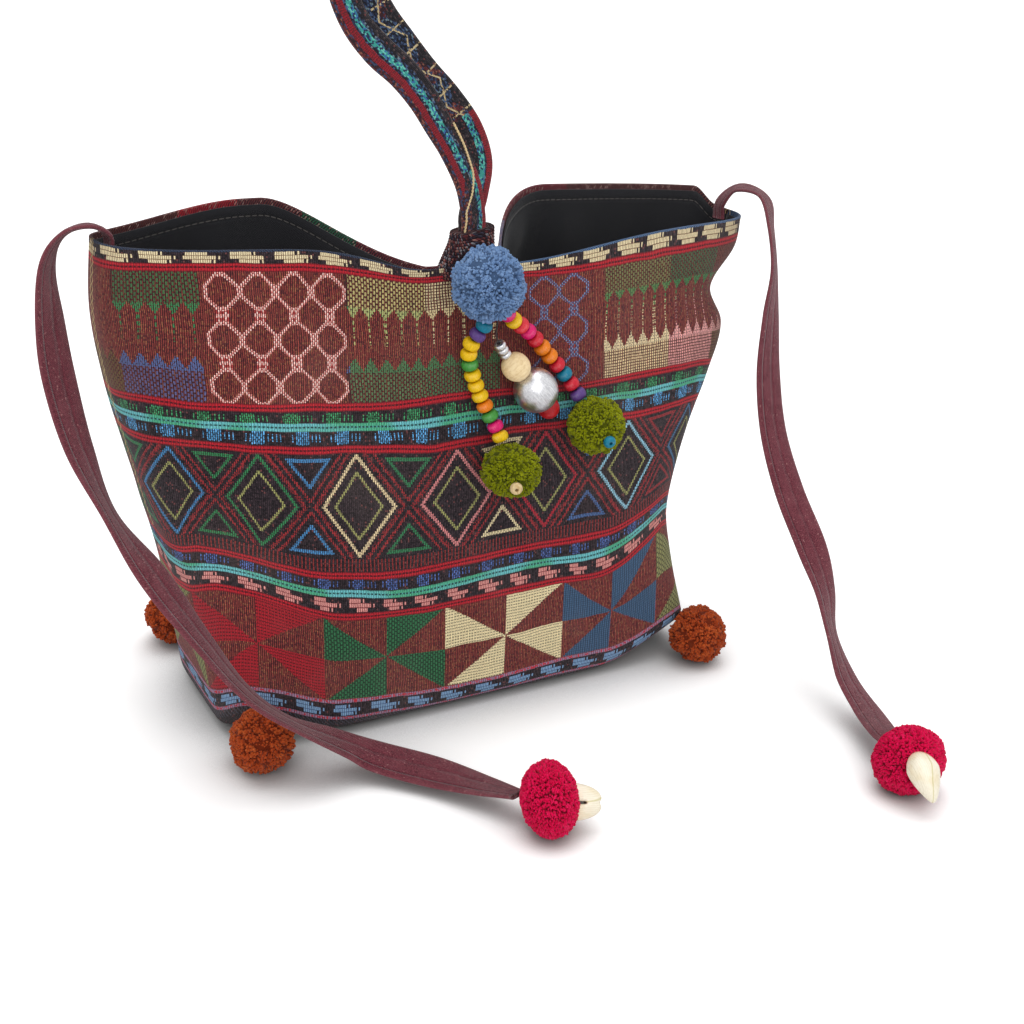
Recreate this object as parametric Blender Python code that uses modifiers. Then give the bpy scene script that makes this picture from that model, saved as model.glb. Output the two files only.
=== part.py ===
"""Crossbody bag: a woven body with a pinched mouth, a strap, bead strands, ties and pompoms.

Metres, +Z up.  The origin is on the floor under the middle of the base, +X runs along the
bag's width and the front faces -Y.
"""
import math

import bmesh
import bpy
import numpy as np
from mathutils import Matrix, Vector, noise

# Clearance between pieces that touch
CLEAR = 0.0003

# Body: outer sizes of the base and the rim
BASE_HALF_WIDTH = 0.128
BASE_HALF_DEPTH = 0.058
RIM_LEFT = 0.164
RIM_RIGHT = 0.172
RIM_HEIGHT_LEFT = 0.2365
RIM_HEIGHT_MIDDLE = 0.2355
RIM_HEIGHT_RIGHT = 0.2295
MOUTH_FRONT = 0.044
MOUTH_BACK = 0.022
BACK_LOBE_RISE = 0.0098
LOBE_END_LEFT = 0.45
LOBE_END_RIGHT = 0.08
CLOTH = 0.0014
LINING = 0.0008
LINING_BELOW_RIM = 0.002

# Bottom edge: its rounding, and how far the pompoms lift the corners
EDGE_RADIUS = 0.012
CORNER_LIFT = 0.015
LIFT_FROM_SIDE = 0.55
LIFT_FROM_MIDDLE = 0.45

# Gather in the middle of the rim, where the collar holds front and back together
HUB_X = -0.006
HUB_SAG = 0.0130
HUB_STACK = 0.0062
HUB_FLAT = 0.0185
HUB_FOLD = 0.058
FRONT_FOLD_LEFT = 0.036
FRONT_FOLD_RIGHT = 0.072
FOLD_REACH = 0.55

# Share of the way from base width to rim width, by height up the wall
LEFT_FLARE = ((0.0, 0.0), (0.2, 0.2), (0.37, 0.43), (0.45, 0.56), (0.58, 0.75), (0.71, 0.93),
              (0.85, 1.05), (1.0, 1.0))
RIGHT_FLARE = ((0.0, 0.12), (0.12, 0.0), (0.3, -0.08), (0.5, 0.26), (0.63, 0.58), (0.75, 0.80),
               (0.84, 0.61), (0.93, 0.93), (1.0, 1.0))

# Squareness of the body's section: nearly a rectangle at the base, an oval at the rim
BASE_SQUARENESS_LEFT = 5.5
BASE_SQUARENESS_RIGHT = 8.0
RIM_SQUARENESS = 2.6
LOBE_SQUARENESS = 1.4
SQUARENESS_POWER = 2.5

# How the walls' depth narrows with height, by the power of the height
FRONT_DEPTH_POWER = 1.8
BACK_DEPTH_POWER = 1.2

# Collar wrapped round the gathered rims and the strap's ends
COLLAR_FLAP = 0.0022
COLLAR_HALF_WIDTH = 0.014
COLLAR_TOP_HALF_WIDTH = 0.0090
COLLAR_DROP = 0.004
COLLAR_HEIGHT = 0.017
COLLAR_TOP_DEPTH = 0.0112
COLLAR_EASE = 0.0012
COLLAR_RINGS = 9
COLLAR_SIDES = 22
COLLAR_RIB = 0.035
COLLAR_CORNER = 0.6
STRAP_SOCKET_FLOOR = 0.0035

# Shoulder strap: one folded band with both ends in the collar
STRAP_WIDTH = 0.0122
STRAP_THICKNESS = 0.0024
BAND_STEP = 0.0066
TURN_IN_STATIONS = 3.0

# Pompoms
BLUE_RADIUS = 0.0173
BLUE_SHIFT = -0.0006
BLUE_DROP = 0.0025
GREEN_RADIUS = 0.0135
RUST_RADIUS = 0.0155
CRIMSON_RADIUS = 0.0175
CRIMSON_FLAT = 0.75
TUFT = 0.0007
TUFT_PITCH = 4.0

# Beads on their threads
THREAD_RADIUS = 0.0005
BEAD_HOLE = 0.0009
BEAD_RADIUS = 0.0040
LEFT_BEAD_LENGTH = 0.0050
RIGHT_BEAD_LENGTH = 0.0055
RING_RADIUS = 0.0029
RING_LENGTH = 0.0030
WOOD_BALL_RADIUS = 0.0067
SILVER_BALL_RADIUS = 0.0105
RED_BALL_RADIUS = 0.0053
END_BEAD_RADIUS = 0.0030
END_BEAD_LENGTH = 0.0036
BARREL_ROUNDNESS = 0.6
RING_ROUNDNESS = 0.5
BALL_ROUNDNESS = 0.95
BEAD_DISH = 0.95
THREAD_STEP = 0.0005
THREAD_TAIL = 0.012

# Ties: a folded band sewn to each end of the rim
TIE_WIDTH = 0.0165
TIE_THICKNESS = 0.0024

# Cowrie shells at the ties' ends
SHELL_LENGTH = 0.024
SHELL_WIDTH = 0.0175
SHELL_HEIGHT = 0.0125
SHELL_SLIT = 0.0012
SLIT_REACH = 0.42
SLIT_FLOOR = 0.12
SHELL_TAPER = 0.18
SHELL_BACK = 0.62
SHELL_FLAT = 0.55

# Mesh of the cloth: columns gather towards the middle and rows towards the rim
COLUMNS = 28
COLUMN_GATHER = 0.3
WALL_ROWS = 9
ROW_GATHER = 1.35
EDGE_ROWS = 1
BASE_SHARES = (0.0, 0.45, 0.8)
SECTION_SAMPLES = 721

# Facets round the turned and the lofted pieces
POMPOM_SEGMENTS = 14
POMPOM_RINGS = 9
BEAD_STEPS = 8
BEAD_ARC_POINTS = 4
SHELL_SEGMENTS = 12
SHELL_RINGS = 9

PAINTS = {
    "jacquard": ((0.19, 0.07, 0.06), 0.9, 0.0),
    "lining": ((0.010, 0.010, 0.012), 0.85, 0.0),
    "strap": ((0.24, 0.03, 0.04), 0.9, 0.0),
    "collar": ((0.12, 0.035, 0.035), 0.9, 0.0),
    "tie": ((0.10, 0.03, 0.045), 0.9, 0.0),
    "thread": ((0.03, 0.02, 0.02), 0.8, 0.0),
    "yarn_blue": ((0.10, 0.19, 0.38), 0.95, 0.0),
    "yarn_green": ((0.19, 0.25, 0.015), 0.95, 0.0),
    "yarn_rust": ((0.42, 0.08, 0.012), 0.95, 0.0),
    "yarn_crimson": ((0.46, 0.003, 0.035), 0.95, 0.0),
    "teal": ((0.0, 0.17, 0.24), 0.4, 0.0),
    "purple": ((0.10, 0.02, 0.15), 0.4, 0.0),
    "yellow": ((0.85, 0.60, 0.03), 0.4, 0.0),
    "green": ((0.10, 0.38, 0.06), 0.4, 0.0),
    "orange": ((0.85, 0.26, 0.02), 0.4, 0.0),
    "magenta": ((0.72, 0.02, 0.16), 0.4, 0.0),
    "coral": ((0.78, 0.06, 0.06), 0.4, 0.0),
    "red": ((0.55, 0.015, 0.02), 0.4, 0.0),
    "wood": ((0.66, 0.44, 0.24), 0.5, 0.0),
    "silver": ((0.72, 0.72, 0.72), 0.35, 1.0),
    "beige": ((0.62, 0.50, 0.28), 0.5, 0.0),
    "shell": ((0.80, 0.72, 0.56), 0.3, 0.0),
}


def clear_scene():
    """Remove what the file holds, down to the last object."""
    for item in list(bpy.data.objects):
        bpy.data.objects.remove(item, do_unlink=True)


def new_collection(name):
    """Make a collection in the scene."""
    collection = bpy.data.collections.new(name)
    bpy.context.scene.collection.children.link(collection)
    return collection


def material(name):
    """Return the named paint, made once."""
    if name in bpy.data.materials:
        return bpy.data.materials[name]
    colour, roughness, metallic = PAINTS[name]
    made = bpy.data.materials.new(name)
    made.use_nodes = True
    shader = made.node_tree.nodes["Principled BSDF"]
    shader.inputs["Base Color"].default_value = (*colour, 1.0)
    shader.inputs["Roughness"].default_value = roughness
    shader.inputs["Metallic"].default_value = metallic
    return made


def add_object(name, data, paint, parent=None):
    """Put a mesh or a curve in the bag's collection under the given name."""
    item = bpy.data.objects.new(name, data)
    bpy.data.collections["crossbody_bag"].objects.link(item)
    data.materials.append(material(paint))
    if parent is not None:
        item.parent = parent
    return item


def add_mesh(name, build, paint, parent=None, sharp=40.0):
    """Turn a bmesh into a smooth-shaded object with sharp edges over an angle."""
    mesh = bpy.data.meshes.new(name)
    build.to_mesh(mesh)
    build.free()
    mesh.shade_smooth()
    mesh.set_sharp_from_angle(angle=math.radians(sharp))
    return add_object(name, mesh, paint, parent)


def smoothstep(value):
    """Ease from 0 to 1."""
    value = min(max(value, 0.0), 1.0)
    return value * value * (3.0 - 2.0 * value)


def curve_value(points, place):
    """Read a smooth curve through (place, value) points."""
    places = [point[0] for point in points]
    values = [point[1] for point in points]
    index = min(max(int(np.searchsorted(places, place)) - 1, 0), len(points) - 2)

    def slope(at):
        low, high = max(at - 1, 0), min(at + 1, len(points) - 1)
        return (values[high] - values[low]) / (places[high] - places[low])

    span = places[index + 1] - places[index]
    t = (place - places[index]) / span
    rise = values[index] * (1 + 2 * t) * (1 - t) ** 2 + values[index + 1] * t * t * (3 - 2 * t)
    bend = slope(index) * t * (1 - t) ** 2 - slope(index + 1) * t * t * (1 - t)
    return rise + span * bend


# Body


def half_width(side, height):
    """Half width of the body on one side, side -1 left or 1 right, height 0 base to 1 rim."""
    rim = RIM_RIGHT if side > 0 else RIM_LEFT
    flare = RIGHT_FLARE if side > 0 else LEFT_FLARE
    return BASE_HALF_WIDTH + (rim - BASE_HALF_WIDTH) * curve_value(flare, height)


def depth(face, height):
    """Depth of the front or the back wall from the side seams."""
    if face == "front":
        return BASE_HALF_DEPTH + (MOUTH_FRONT - BASE_HALF_DEPTH) * height ** FRONT_DEPTH_POWER
    return BASE_HALF_DEPTH + (MOUTH_BACK - BASE_HALF_DEPTH) * height ** BACK_DEPTH_POWER


def squareness(face, side, height):
    """Exponent of the section's superellipse on one side."""
    base = BASE_SQUARENESS_RIGHT if side > 0 else BASE_SQUARENESS_LEFT
    value = RIM_SQUARENESS + (base - RIM_SQUARENESS) * (1.0 - height) ** SQUARENESS_POWER
    return value + LOBE_SQUARENESS * height if face == "back" else value


def from_hub(across):
    """Distance along the rim from the flat of the gather, for a share of the half width."""
    rim = RIM_RIGHT if across > 0 else RIM_LEFT
    return max(abs(across * rim - HUB_X) - HUB_FLAT, 0.0)


def rim_height(face, across):
    """Height of the rim at a share of the half width."""
    corner = RIM_HEIGHT_RIGHT if across > 0 else RIM_HEIGHT_LEFT
    line = RIM_HEIGHT_MIDDLE + (corner - RIM_HEIGHT_MIDDLE) * across * across
    if face == "front":
        fold = FRONT_FOLD_RIGHT if across > 0 else FRONT_FOLD_LEFT
        sag = HUB_SAG * math.exp(-(from_hub(across) / fold) ** 2)
        return line - sag * (1.0 - across ** 4)
    hub = RIM_HEIGHT_MIDDLE - HUB_SAG
    end = LOBE_END_RIGHT if across > 0 else LOBE_END_LEFT
    lobe = line + BACK_LOBE_RISE * smoothstep((1.0 - abs(across)) / end)
    share = min(from_hub(across) / HUB_FOLD, 1.0)
    rise = 1.0 - (1.0 - share) ** 2 if across > 0 else smoothstep(share)
    return hub + (lobe - hub) * rise


def wall_y(face, across, height):
    """Place of the outer wall along Y, with the back pulled forward to the gather."""
    power = squareness(face, across, height)
    reach = (1.0 - abs(across) ** power) ** (1.0 / power) * depth(face, height)
    if face == "front":
        return -reach
    pull = (1.0 - min(from_hub(across) / HUB_FOLD, 1.0)) ** 2
    pull *= smoothstep((height - 1.0 + FOLD_REACH) / FOLD_REACH)
    return reach + pull * (HUB_STACK - MOUTH_FRONT - reach)


def corner_lift(across, out):
    """Rise of the bottom near a corner, from shares of the half width and the half depth."""
    side = smoothstep((abs(across) - LIFT_FROM_SIDE) / (1.0 - LIFT_FROM_SIDE))
    return CORNER_LIFT * side * smoothstep((out - LIFT_FROM_MIDDLE) / (1.0 - LIFT_FROM_MIDDLE))


def section(face, height):
    """Even points along the wall at one height, from the left seam to the right one."""
    turns = np.linspace(math.pi, 0.0, SECTION_SAMPLES)
    powers = np.array([squareness(face, math.cos(turn), height) for turn in turns])
    across = np.sign(np.cos(turns)) * np.abs(np.cos(turns)) ** (2.0 / powers)
    across[0], across[-1] = -1.0, 1.0
    rows = [(share * half_width(share, height), wall_y(face, share, height), share)
            for share in across]
    rows = np.array(rows)
    steps = np.linalg.norm(np.diff(rows[:, :2], axis=0), axis=1)
    length = np.concatenate(([0.0], np.cumsum(steps)))
    turns = np.linspace(0.0, 1.0, COLUMNS + 1)
    even = length[-1] * (turns + COLUMN_GATHER * np.sin(2.0 * math.pi * turns) / (2.0 * math.pi))
    return np.array([[np.interp(place, length, rows[:, axis]) for axis in range(3)]
                     for place in even])


def wall_rows(face):
    """Rows of points from the bottom edge up to the rim."""
    grid = []
    for row in range(WALL_ROWS + 1):
        height = 1.0 - (1.0 - row / WALL_ROWS) ** ROW_GATHER
        points = []
        for x, y, across in section(face, height):
            out = abs(y) / depth(face, height)
            low = EDGE_RADIUS + corner_lift(across, out) * (1.0 - height)
            points.append((x, y, low + (rim_height(face, across) - EDGE_RADIUS) * height))
        grid.append(points)
    return np.array(grid)


def edge_rows(face):
    """Rows of points round the bottom edge, from the base up to the wall's foot."""
    grid = []
    for row in range(EDGE_ROWS + 2):
        turn = 0.5 * math.pi * (1.0 - row / (EDGE_ROWS + 1.0))
        inset = EDGE_RADIUS * (1.0 - math.cos(turn))
        points = []
        for x, y, across in section(face, 0.0):
            lift = corner_lift(across, abs(y) / BASE_HALF_DEPTH)
            points.append((x * (1.0 - inset / BASE_HALF_WIDTH),
                           y * (1.0 - inset / BASE_HALF_DEPTH),
                           EDGE_RADIUS * (1.0 - math.sin(turn)) + lift))
        grid.append(points)
    return np.array(grid)


def base_rows(face, shares):
    """Rows of points on the base, from its middle line, share 0, to the edge, share 1."""
    wide = BASE_HALF_WIDTH - EDGE_RADIUS
    deep = BASE_HALF_DEPTH - EDGE_RADIUS
    line = section(face, 0.0)
    grid = []
    for share in shares:
        points = []
        for column, (x, y, across) in enumerate(line):
            middle = wide * (2.0 * column / COLUMNS - 1.0)
            edge = x * wide / BASE_HALF_WIDTH
            place = middle + (edge - middle) * share
            out = y * deep / BASE_HALF_DEPTH * share
            reach = wide * half_width(place, 0.0) / BASE_HALF_WIDTH
            points.append((place, out, corner_lift(place / reach, abs(out) / deep)))
        grid.append(points)
    return np.array(grid)


def inset_grid(face, grid, inset):
    """Move a grid of points inward along its normals, with its end columns kept on the seam."""
    along = np.gradient(grid, axis=1)
    up = np.gradient(grid, axis=0)
    normals = np.cross(along, up)
    if face == "back":
        normals = -normals
    for column, side in ((0, -1.0), (-1, 1.0)):
        normals[:, column, 0] = side * up[:, column, 2]
        normals[:, column, 1] = 0.0
        normals[:, column, 2] = -side * up[:, column, 0]
    normals[0] = (0.0, 0.0, -1.0)
    lengths = np.linalg.norm(normals, axis=2, keepdims=True)
    flat = lengths[..., 0] < 1e-9
    normals[flat] = (0.0, 0.0, -1.0)
    lengths[flat] = 1.0
    moved = grid - normals / lengths * inset
    for column in (0, -1):
        steps = np.linalg.norm(np.diff(grid[:, column], axis=0), axis=1)
        last = int(np.argmin(steps < 1e-9))
        moved[:last, column] = moved[last, column]
    return moved


def add_grid(build, grid, flip):
    """Add a grid of facets, split the same way in every layer, and return its vertices."""
    verts = [[build.verts.new(point) for point in row] for row in grid.tolist()]
    for low, high in zip(verts, verts[1:]):
        for column in range(len(low) - 1):
            for loop in ([low[column], low[column + 1], high[column + 1]],
                         [low[column], high[column + 1], high[column]]):
                build.faces.new(loop[::-1] if flip else loop)
    return verts


def add_strip(build, first, second, flip):
    """Bridge two lines of vertices with quads."""
    for a, b, c, d in zip(first, first[1:], second[1:], second):
        loop = [a, b, c, d]
        build.faces.new(loop[::-1] if flip else loop)


def add_sheet(build, outer, inner, flip, seams=True, foot=True):
    """Add a sheet with a thickness between two grids, open where it is joined to another."""
    out = add_grid(build, outer, flip)
    back = add_grid(build, inner, not flip)
    add_strip(build, out[-1], back[-1], flip)
    if foot:
        add_strip(build, out[0], back[0], not flip)
    if seams:
        add_strip(build, [row[0] for row in out], [row[0] for row in back], flip)
        add_strip(build, [row[-1] for row in out], [row[-1] for row in back], not flip)


def make_panel(face):
    """Front or back cloth, wrapped round half of each side and turned under at the bottom."""
    outer = np.concatenate((edge_rows(face), wall_rows(face)[1:]))
    inner = inset_grid(face, outer, CLOTH)
    gap = -0.5 * CLEAR if face == "front" else 0.5 * CLEAR
    for grid in (outer, inner):
        grid[:, 0, 1] = gap
        grid[:, -1, 1] = gap
    build = bmesh.new()
    add_sheet(build, outer, inner, face == "back")
    return add_mesh(face + "_panel", build, "jacquard")


def make_base():
    """Bottom cloth between the turned edges of the two panels."""
    shrink = np.array((1.0 - CLEAR / (BASE_HALF_WIDTH - EDGE_RADIUS),
                       1.0 - CLEAR / (BASE_HALF_DEPTH - EDGE_RADIUS), 1.0))
    build = bmesh.new()
    for face in ("front", "back"):
        outer = base_rows(face, (*BASE_SHARES, 1.0)) * shrink
        inner = outer + np.array((0.0, 0.0, CLOTH))
        add_sheet(build, outer, inner, face == "back", seams=False, foot=False)
    weld(build)
    return add_mesh("base_panel", build, "jacquard")


def weld(build):
    """Join the halves of a sheet along their shared line."""
    bmesh.ops.remove_doubles(build, verts=build.verts, dist=1e-5)
    bmesh.ops.dissolve_degenerate(build, edges=build.edges, dist=1e-6)


def make_lining():
    """Black lining: an open bag that follows the inside of the panels and the base."""
    drop = LINING_BELOW_RIM / RIM_HEIGHT_LEFT * WALL_ROWS ** ROW_GATHER
    build = bmesh.new()
    for face in ("front", "back"):
        wall = np.concatenate((base_rows(face, BASE_SHARES), edge_rows(face), wall_rows(face)[1:]))
        wall[-1] += (wall[-2] - wall[-1]) * drop
        outer = inset_grid(face, wall, CLOTH + CLEAR)
        inner = inset_grid(face, wall, CLOTH + CLEAR + LINING)
        add_sheet(build, outer, inner, face == "back", seams=False, foot=False)
    weld(build)
    return add_mesh("lining", build, "lining")


# Smooth routes


def smooth_route(points, step):
    """Read a smooth curve through hand-chosen points at about even steps."""
    points = np.array(points, dtype=float)
    before = 2.0 * points[0] - points[1]
    after = 2.0 * points[-1] - points[-2]
    ring = np.vstack((before, points, after))
    fine = []
    for a, b, c, d in zip(ring, ring[1:], ring[2:], ring[3:]):
        for t in np.linspace(0.0, 1.0, 24, endpoint=False):
            fine.append(0.5 * (2 * b + (c - a) * t + (2 * a - 5 * b + 4 * c - d) * t * t
                               + (3 * b - a - 3 * c + d) * t ** 3))
    fine.append(points[-1])
    fine = np.array(fine)
    length = path_lengths(fine)
    count = max(int(round(length[-1] / step)), 2)
    return read_path(fine, length, np.linspace(0.0, length[-1], count + 1))


def path_lengths(path):
    """Length along a path at each of its points, by its first three columns."""
    steps = np.linalg.norm(np.diff(path[:, :3], axis=0), axis=1)
    return np.concatenate(([0.0], np.cumsum(steps)))


def read_path(path, length, places):
    """Points of a path at the given lengths along it."""
    return np.column_stack([np.interp(places, length, path[:, axis])
                            for axis in range(path.shape[1])])


def make_band(name, stations, width, thickness, paint, step):
    """Flat band along stations of (x, y, z, facing x, y, z, share of the width)."""
    path = smooth_route(stations, step)
    along = np.gradient(path[:, :3], axis=0)
    facing = path[:, 3:6]
    across = np.cross(along, facing)
    across /= np.linalg.norm(across, axis=1, keepdims=True)
    half = 0.5 * width * path[:, 6:7]
    build = bmesh.new()
    left, right = ([build.verts.new(point)
                    for point in (path[:, :3] + side * half * across).tolist()]
                   for side in (-1.0, 1.0))
    add_strip(build, left, right, False)
    band = add_mesh(name, build, paint)
    solid = band.modifiers.new("thickness", "SOLIDIFY")
    solid.thickness = thickness
    solid.offset = 0.0
    return band


# Collar and strap


def hub_front():
    """Place of the front wall along Y at the gather."""
    return wall_y("front", HUB_X / RIM_LEFT, 1.0)


def hub_top():
    """Height of the gathered rims."""
    return rim_height("front", HUB_X / RIM_LEFT)


def hub_middle():
    """Middle of the gathered rims along Y."""
    return hub_front() + 0.5 * HUB_STACK


def box(name, low, high):
    """Box-shaped cutter between two corners."""
    build = bmesh.new()
    bmesh.ops.create_cube(build, size=1.0)
    size = Vector(high) - Vector(low)
    middle = 0.5 * (Vector(high) + Vector(low))
    bmesh.ops.scale(build, vec=size, verts=build.verts)
    bmesh.ops.translate(build, vec=middle, verts=build.verts)
    mesh = bpy.data.meshes.new(name)
    build.to_mesh(mesh)
    build.free()
    return hide_cutter(name, mesh)


def hide_cutter(name, mesh):
    """Put a cutter in its own collection, out of the model."""
    cutter = bpy.data.objects.new(name, mesh)
    bpy.data.collections["cutters"].objects.link(cutter)
    cutter.hide_render = True
    cutter.display_type = "WIRE"
    return cutter


def cut(item, cutter):
    """Subtract a cutter from an object."""
    boolean = item.modifiers.new("cut " + cutter.name, "BOOLEAN")
    boolean.operation = "DIFFERENCE"
    boolean.solver = "EXACT"
    boolean.object = cutter


def collar_depth():
    """Depth of the collar's skirt, over the gathered rims and both flaps."""
    return HUB_STACK + 2.0 * (CLEAR + COLLAR_EASE + COLLAR_FLAP)


def make_collar():
    """Ribbed wrap: a slot astride the gathered rims below and a socket for the strap above."""
    build = bmesh.new()
    loops = []
    for ring in range(COLLAR_RINGS):
        share = ring / (COLLAR_RINGS - 1.0)
        rib = 1.0 if ring % 2 else 1.0 - COLLAR_RIB
        ease = smoothstep(share)
        wide = rib * (COLLAR_HALF_WIDTH + (COLLAR_TOP_HALF_WIDTH - COLLAR_HALF_WIDTH) * ease)
        deep = rib * 0.5 * (collar_depth() + (COLLAR_TOP_DEPTH - collar_depth()) * ease)
        loop = []
        for side in range(COLLAR_SIDES):
            turn = 2.0 * math.pi * side / COLLAR_SIDES
            across = math.copysign(abs(math.cos(turn)) ** COLLAR_CORNER, math.cos(turn))
            out = math.copysign(abs(math.sin(turn)) ** COLLAR_CORNER, math.sin(turn))
            height = (COLLAR_DROP + COLLAR_HEIGHT) * share - COLLAR_DROP
            loop.append(build.verts.new((HUB_X + wide * across, hub_middle() + deep * out,
                                         hub_top() + height)))
        loops.append(loop)
    for low, high in zip(loops, loops[1:]):
        add_strip(build, low + low[:1], high + high[:1], False)
    build.faces.new(loops[0][::-1])
    build.faces.new(loops[-1])
    collar = add_mesh("collar", build, "collar", sharp=60.0)
    half_slot = 0.5 * HUB_STACK + CLEAR + COLLAR_EASE
    reach = 2.0 * COLLAR_HALF_WIDTH
    cut(collar, box("rim slot",
                    (HUB_X - reach, hub_middle() - half_slot, hub_top() - 2.0 * COLLAR_DROP),
                    (HUB_X + reach, hub_middle() + half_slot, hub_top() + CLEAR + COLLAR_EASE)))
    half_socket = STRAP_THICKNESS + 1.5 * CLEAR
    cut(collar, box("strap socket",
                    (HUB_X - 0.5 * STRAP_WIDTH - CLEAR, hub_middle() - half_socket,
                     hub_top() + STRAP_SOCKET_FLOOR),
                    (HUB_X + 0.5 * STRAP_WIDTH + CLEAR, hub_middle() + half_socket,
                     hub_top() + 2.0 * COLLAR_HEIGHT)))
    return collar


# Strap's way up and back, as shifts from the middle of the gathered rims: x, z, then y
STRAP_RISE = (
    (0.000, 0.0234, 0.0, 1.0), (-0.0024, 0.0376, -0.0006, 1.0), (-0.0097, 0.0527, -0.0012, 1.0),
    (-0.0167, 0.0635, -0.0012, 1.05), (-0.0246, 0.0752, -0.0010, 1.1),
    (-0.0336, 0.0855, 0.0000, 1.15), (-0.0443, 0.0945, 0.0015, 1.15),
    (-0.0540, 0.1060, 0.0030, 1.05), (-0.0600, 0.1210, 0.0045, 1.0),
    (-0.0630, 0.1400, 0.0060, 1.0),
)
STRAP_TURN = (
    (-0.0610, 0.1570, 0.0085, (-0.2, -0.9, 0.5)), (-0.0585, 0.1670, 0.0120, (-0.1, -0.6, 1.0)),
    (-0.0545, 0.1700, 0.0165, (0.05, 0.1, 1.0)), (-0.0500, 0.1650, 0.0210, (0.2, 0.8, 0.6)),
    (-0.0470, 0.1560, 0.0235, (0.25, 0.95, 0.1)),
)
STRAP_FALL = (
    (-0.0450, 0.1450, 0.0240, 1.0), (-0.0420, 0.1270, 0.0230, 1.0),
    (-0.0335, 0.1090, 0.0210, 1.0), (-0.0240, 0.0960, 0.0180, 1.0),
    (-0.0145, 0.0840, 0.0150, 1.0), (-0.0045, 0.0730, 0.0120, 1.0),
    (0.0045, 0.0600, 0.0085, 1.0), (0.0078, 0.0460, 0.0045, 1.0), (0.0040, 0.0330, 0.0014, 1.0),
    (0.0000, 0.0225, 0.0000, 1.0),
)
STRAP_FACES = {"rise": (-0.25, -0.95, 0.15), "fall": (0.25, 0.95, -0.15)}


def make_strap():
    """Folded band that rises from the collar, turns over and comes back beside itself."""
    lie = 0.5 * (STRAP_THICKNESS + CLEAR)
    foot = STRAP_SOCKET_FLOOR + CLEAR
    mouth = COLLAR_HEIGHT + CLEAR
    stations = [strap_station(0.0, foot, 0.0, 1.0, -lie, "rise", 0.0),
                strap_station(0.0, mouth, 0.0, 1.0, -lie, "rise", 0.0)]
    stations += [strap_station(*place, -lie, "rise", min(index / TURN_IN_STATIONS, 1.0))
                 for index, place in enumerate(STRAP_RISE)]
    stations += [(HUB_X + x, hub_middle() + y, hub_top() + z, *facing, 1.0)
                 for x, z, y, facing in STRAP_TURN]
    back = [strap_station(*place, lie, "fall", min(index / TURN_IN_STATIONS, 1.0))
            for index, place in enumerate(reversed(STRAP_FALL))]
    stations += back[::-1]
    stations += [strap_station(0.0, mouth, 0.0, 1.0, lie, "fall", 0.0),
                 strap_station(0.0, foot, 0.0, 1.0, lie, "fall", 0.0)]
    return make_band("shoulder_strap", stations, STRAP_WIDTH, STRAP_THICKNESS, "strap", BAND_STEP)


def strap_station(x, z, y, share, lie, stretch, turned):
    """Station of the strap: its place, the way its face looks and its share of the width."""
    free = STRAP_FACES[stretch]
    square = (0.0, math.copysign(1.0, free[1]), 0.0)
    facing = [a + (b - a) * turned for a, b in zip(square, free)]
    return (HUB_X + x, hub_middle() + lie + y, hub_top() + z, *facing, share)


# Pompoms and beads


def make_pompom(name, centre, radius, paint, parent=None, seed=0.0, flat=1.0, way=(0, 0, 1),
                sewn_to=None):
    """Yarn ball with a tufted outline, squashed along a way, level on the floor, sewn to a point."""
    axis = Vector(way).normalized()
    build = bmesh.new()
    bmesh.ops.create_uvsphere(build, u_segments=POMPOM_SEGMENTS, v_segments=POMPOM_RINGS,
                              radius=radius)
    for vert in build.verts:
        way = vert.co.normalized()
        vert.co += way * TUFT * noise.noise(way * TUFT_PITCH + Vector((seed, 0.0, 0.0)))
        vert.co += axis * vert.co.dot(axis) * (flat - 1.0)
    bmesh.ops.translate(build, vec=Vector(centre), verts=build.verts)
    if sewn_to is not None:
        neck = min(build.verts, key=lambda vert: (vert.co - sewn_to).length)
        neck.co = sewn_to + (Vector(centre) - sewn_to).normalized() * CLEAR
    if parent is None:
        for vert in build.verts:
            vert.co.z = max(vert.co.z, 0.0)
    return add_mesh(name, build, paint, parent, sharp=180.0)


def bead_profile(radius, length, roundness):
    """Closed outline of a bored bead, down its outer side and back up the bore."""
    half = 0.5 * length
    outline = []
    for turn in np.linspace(0.5 * math.pi, -0.5 * math.pi, BEAD_ARC_POINTS + 2)[1:-1]:
        out = BEAD_HOLE + (radius - BEAD_HOLE) * abs(math.cos(turn)) ** roundness
        outline.append((out, half * math.sin(turn)))
    return [(BEAD_HOLE, half * BEAD_DISH)] + outline + [(BEAD_HOLE, -half * BEAD_DISH)]


def make_bead(name, start, end, radius, paint, parent, roundness=BARREL_ROUNDNESS):
    """Turned bead bored along the line from start to end."""
    start, end = Vector(start), Vector(end)
    profile = bead_profile(radius, (end - start).length, roundness)
    mesh = bpy.data.meshes.new(name)
    build = bmesh.new()
    verts = [build.verts.new((out, 0.0, height)) for out, height in profile]
    for a, b in zip(verts, verts[1:] + verts[:1]):
        build.edges.new((a, b))
    build.to_mesh(mesh)
    build.free()
    bead = add_object(name, mesh, paint)
    screw = bead.modifiers.new("turn", "SCREW")
    screw.steps = BEAD_STEPS
    screw.render_steps = BEAD_STEPS
    screw.use_merge_vertices = True
    screw.merge_threshold = 0.00001
    screw.use_smooth_shade = True
    turn = (start - end).normalized().to_track_quat("Z", "Y").to_matrix().to_4x4()
    place = Matrix.Translation(0.5 * (start + end)) @ turn
    if parent is not None:
        bead.parent = parent
        place = Matrix.Translation(-parent.location) @ place
    bead.matrix_local = place
    return bead


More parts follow.
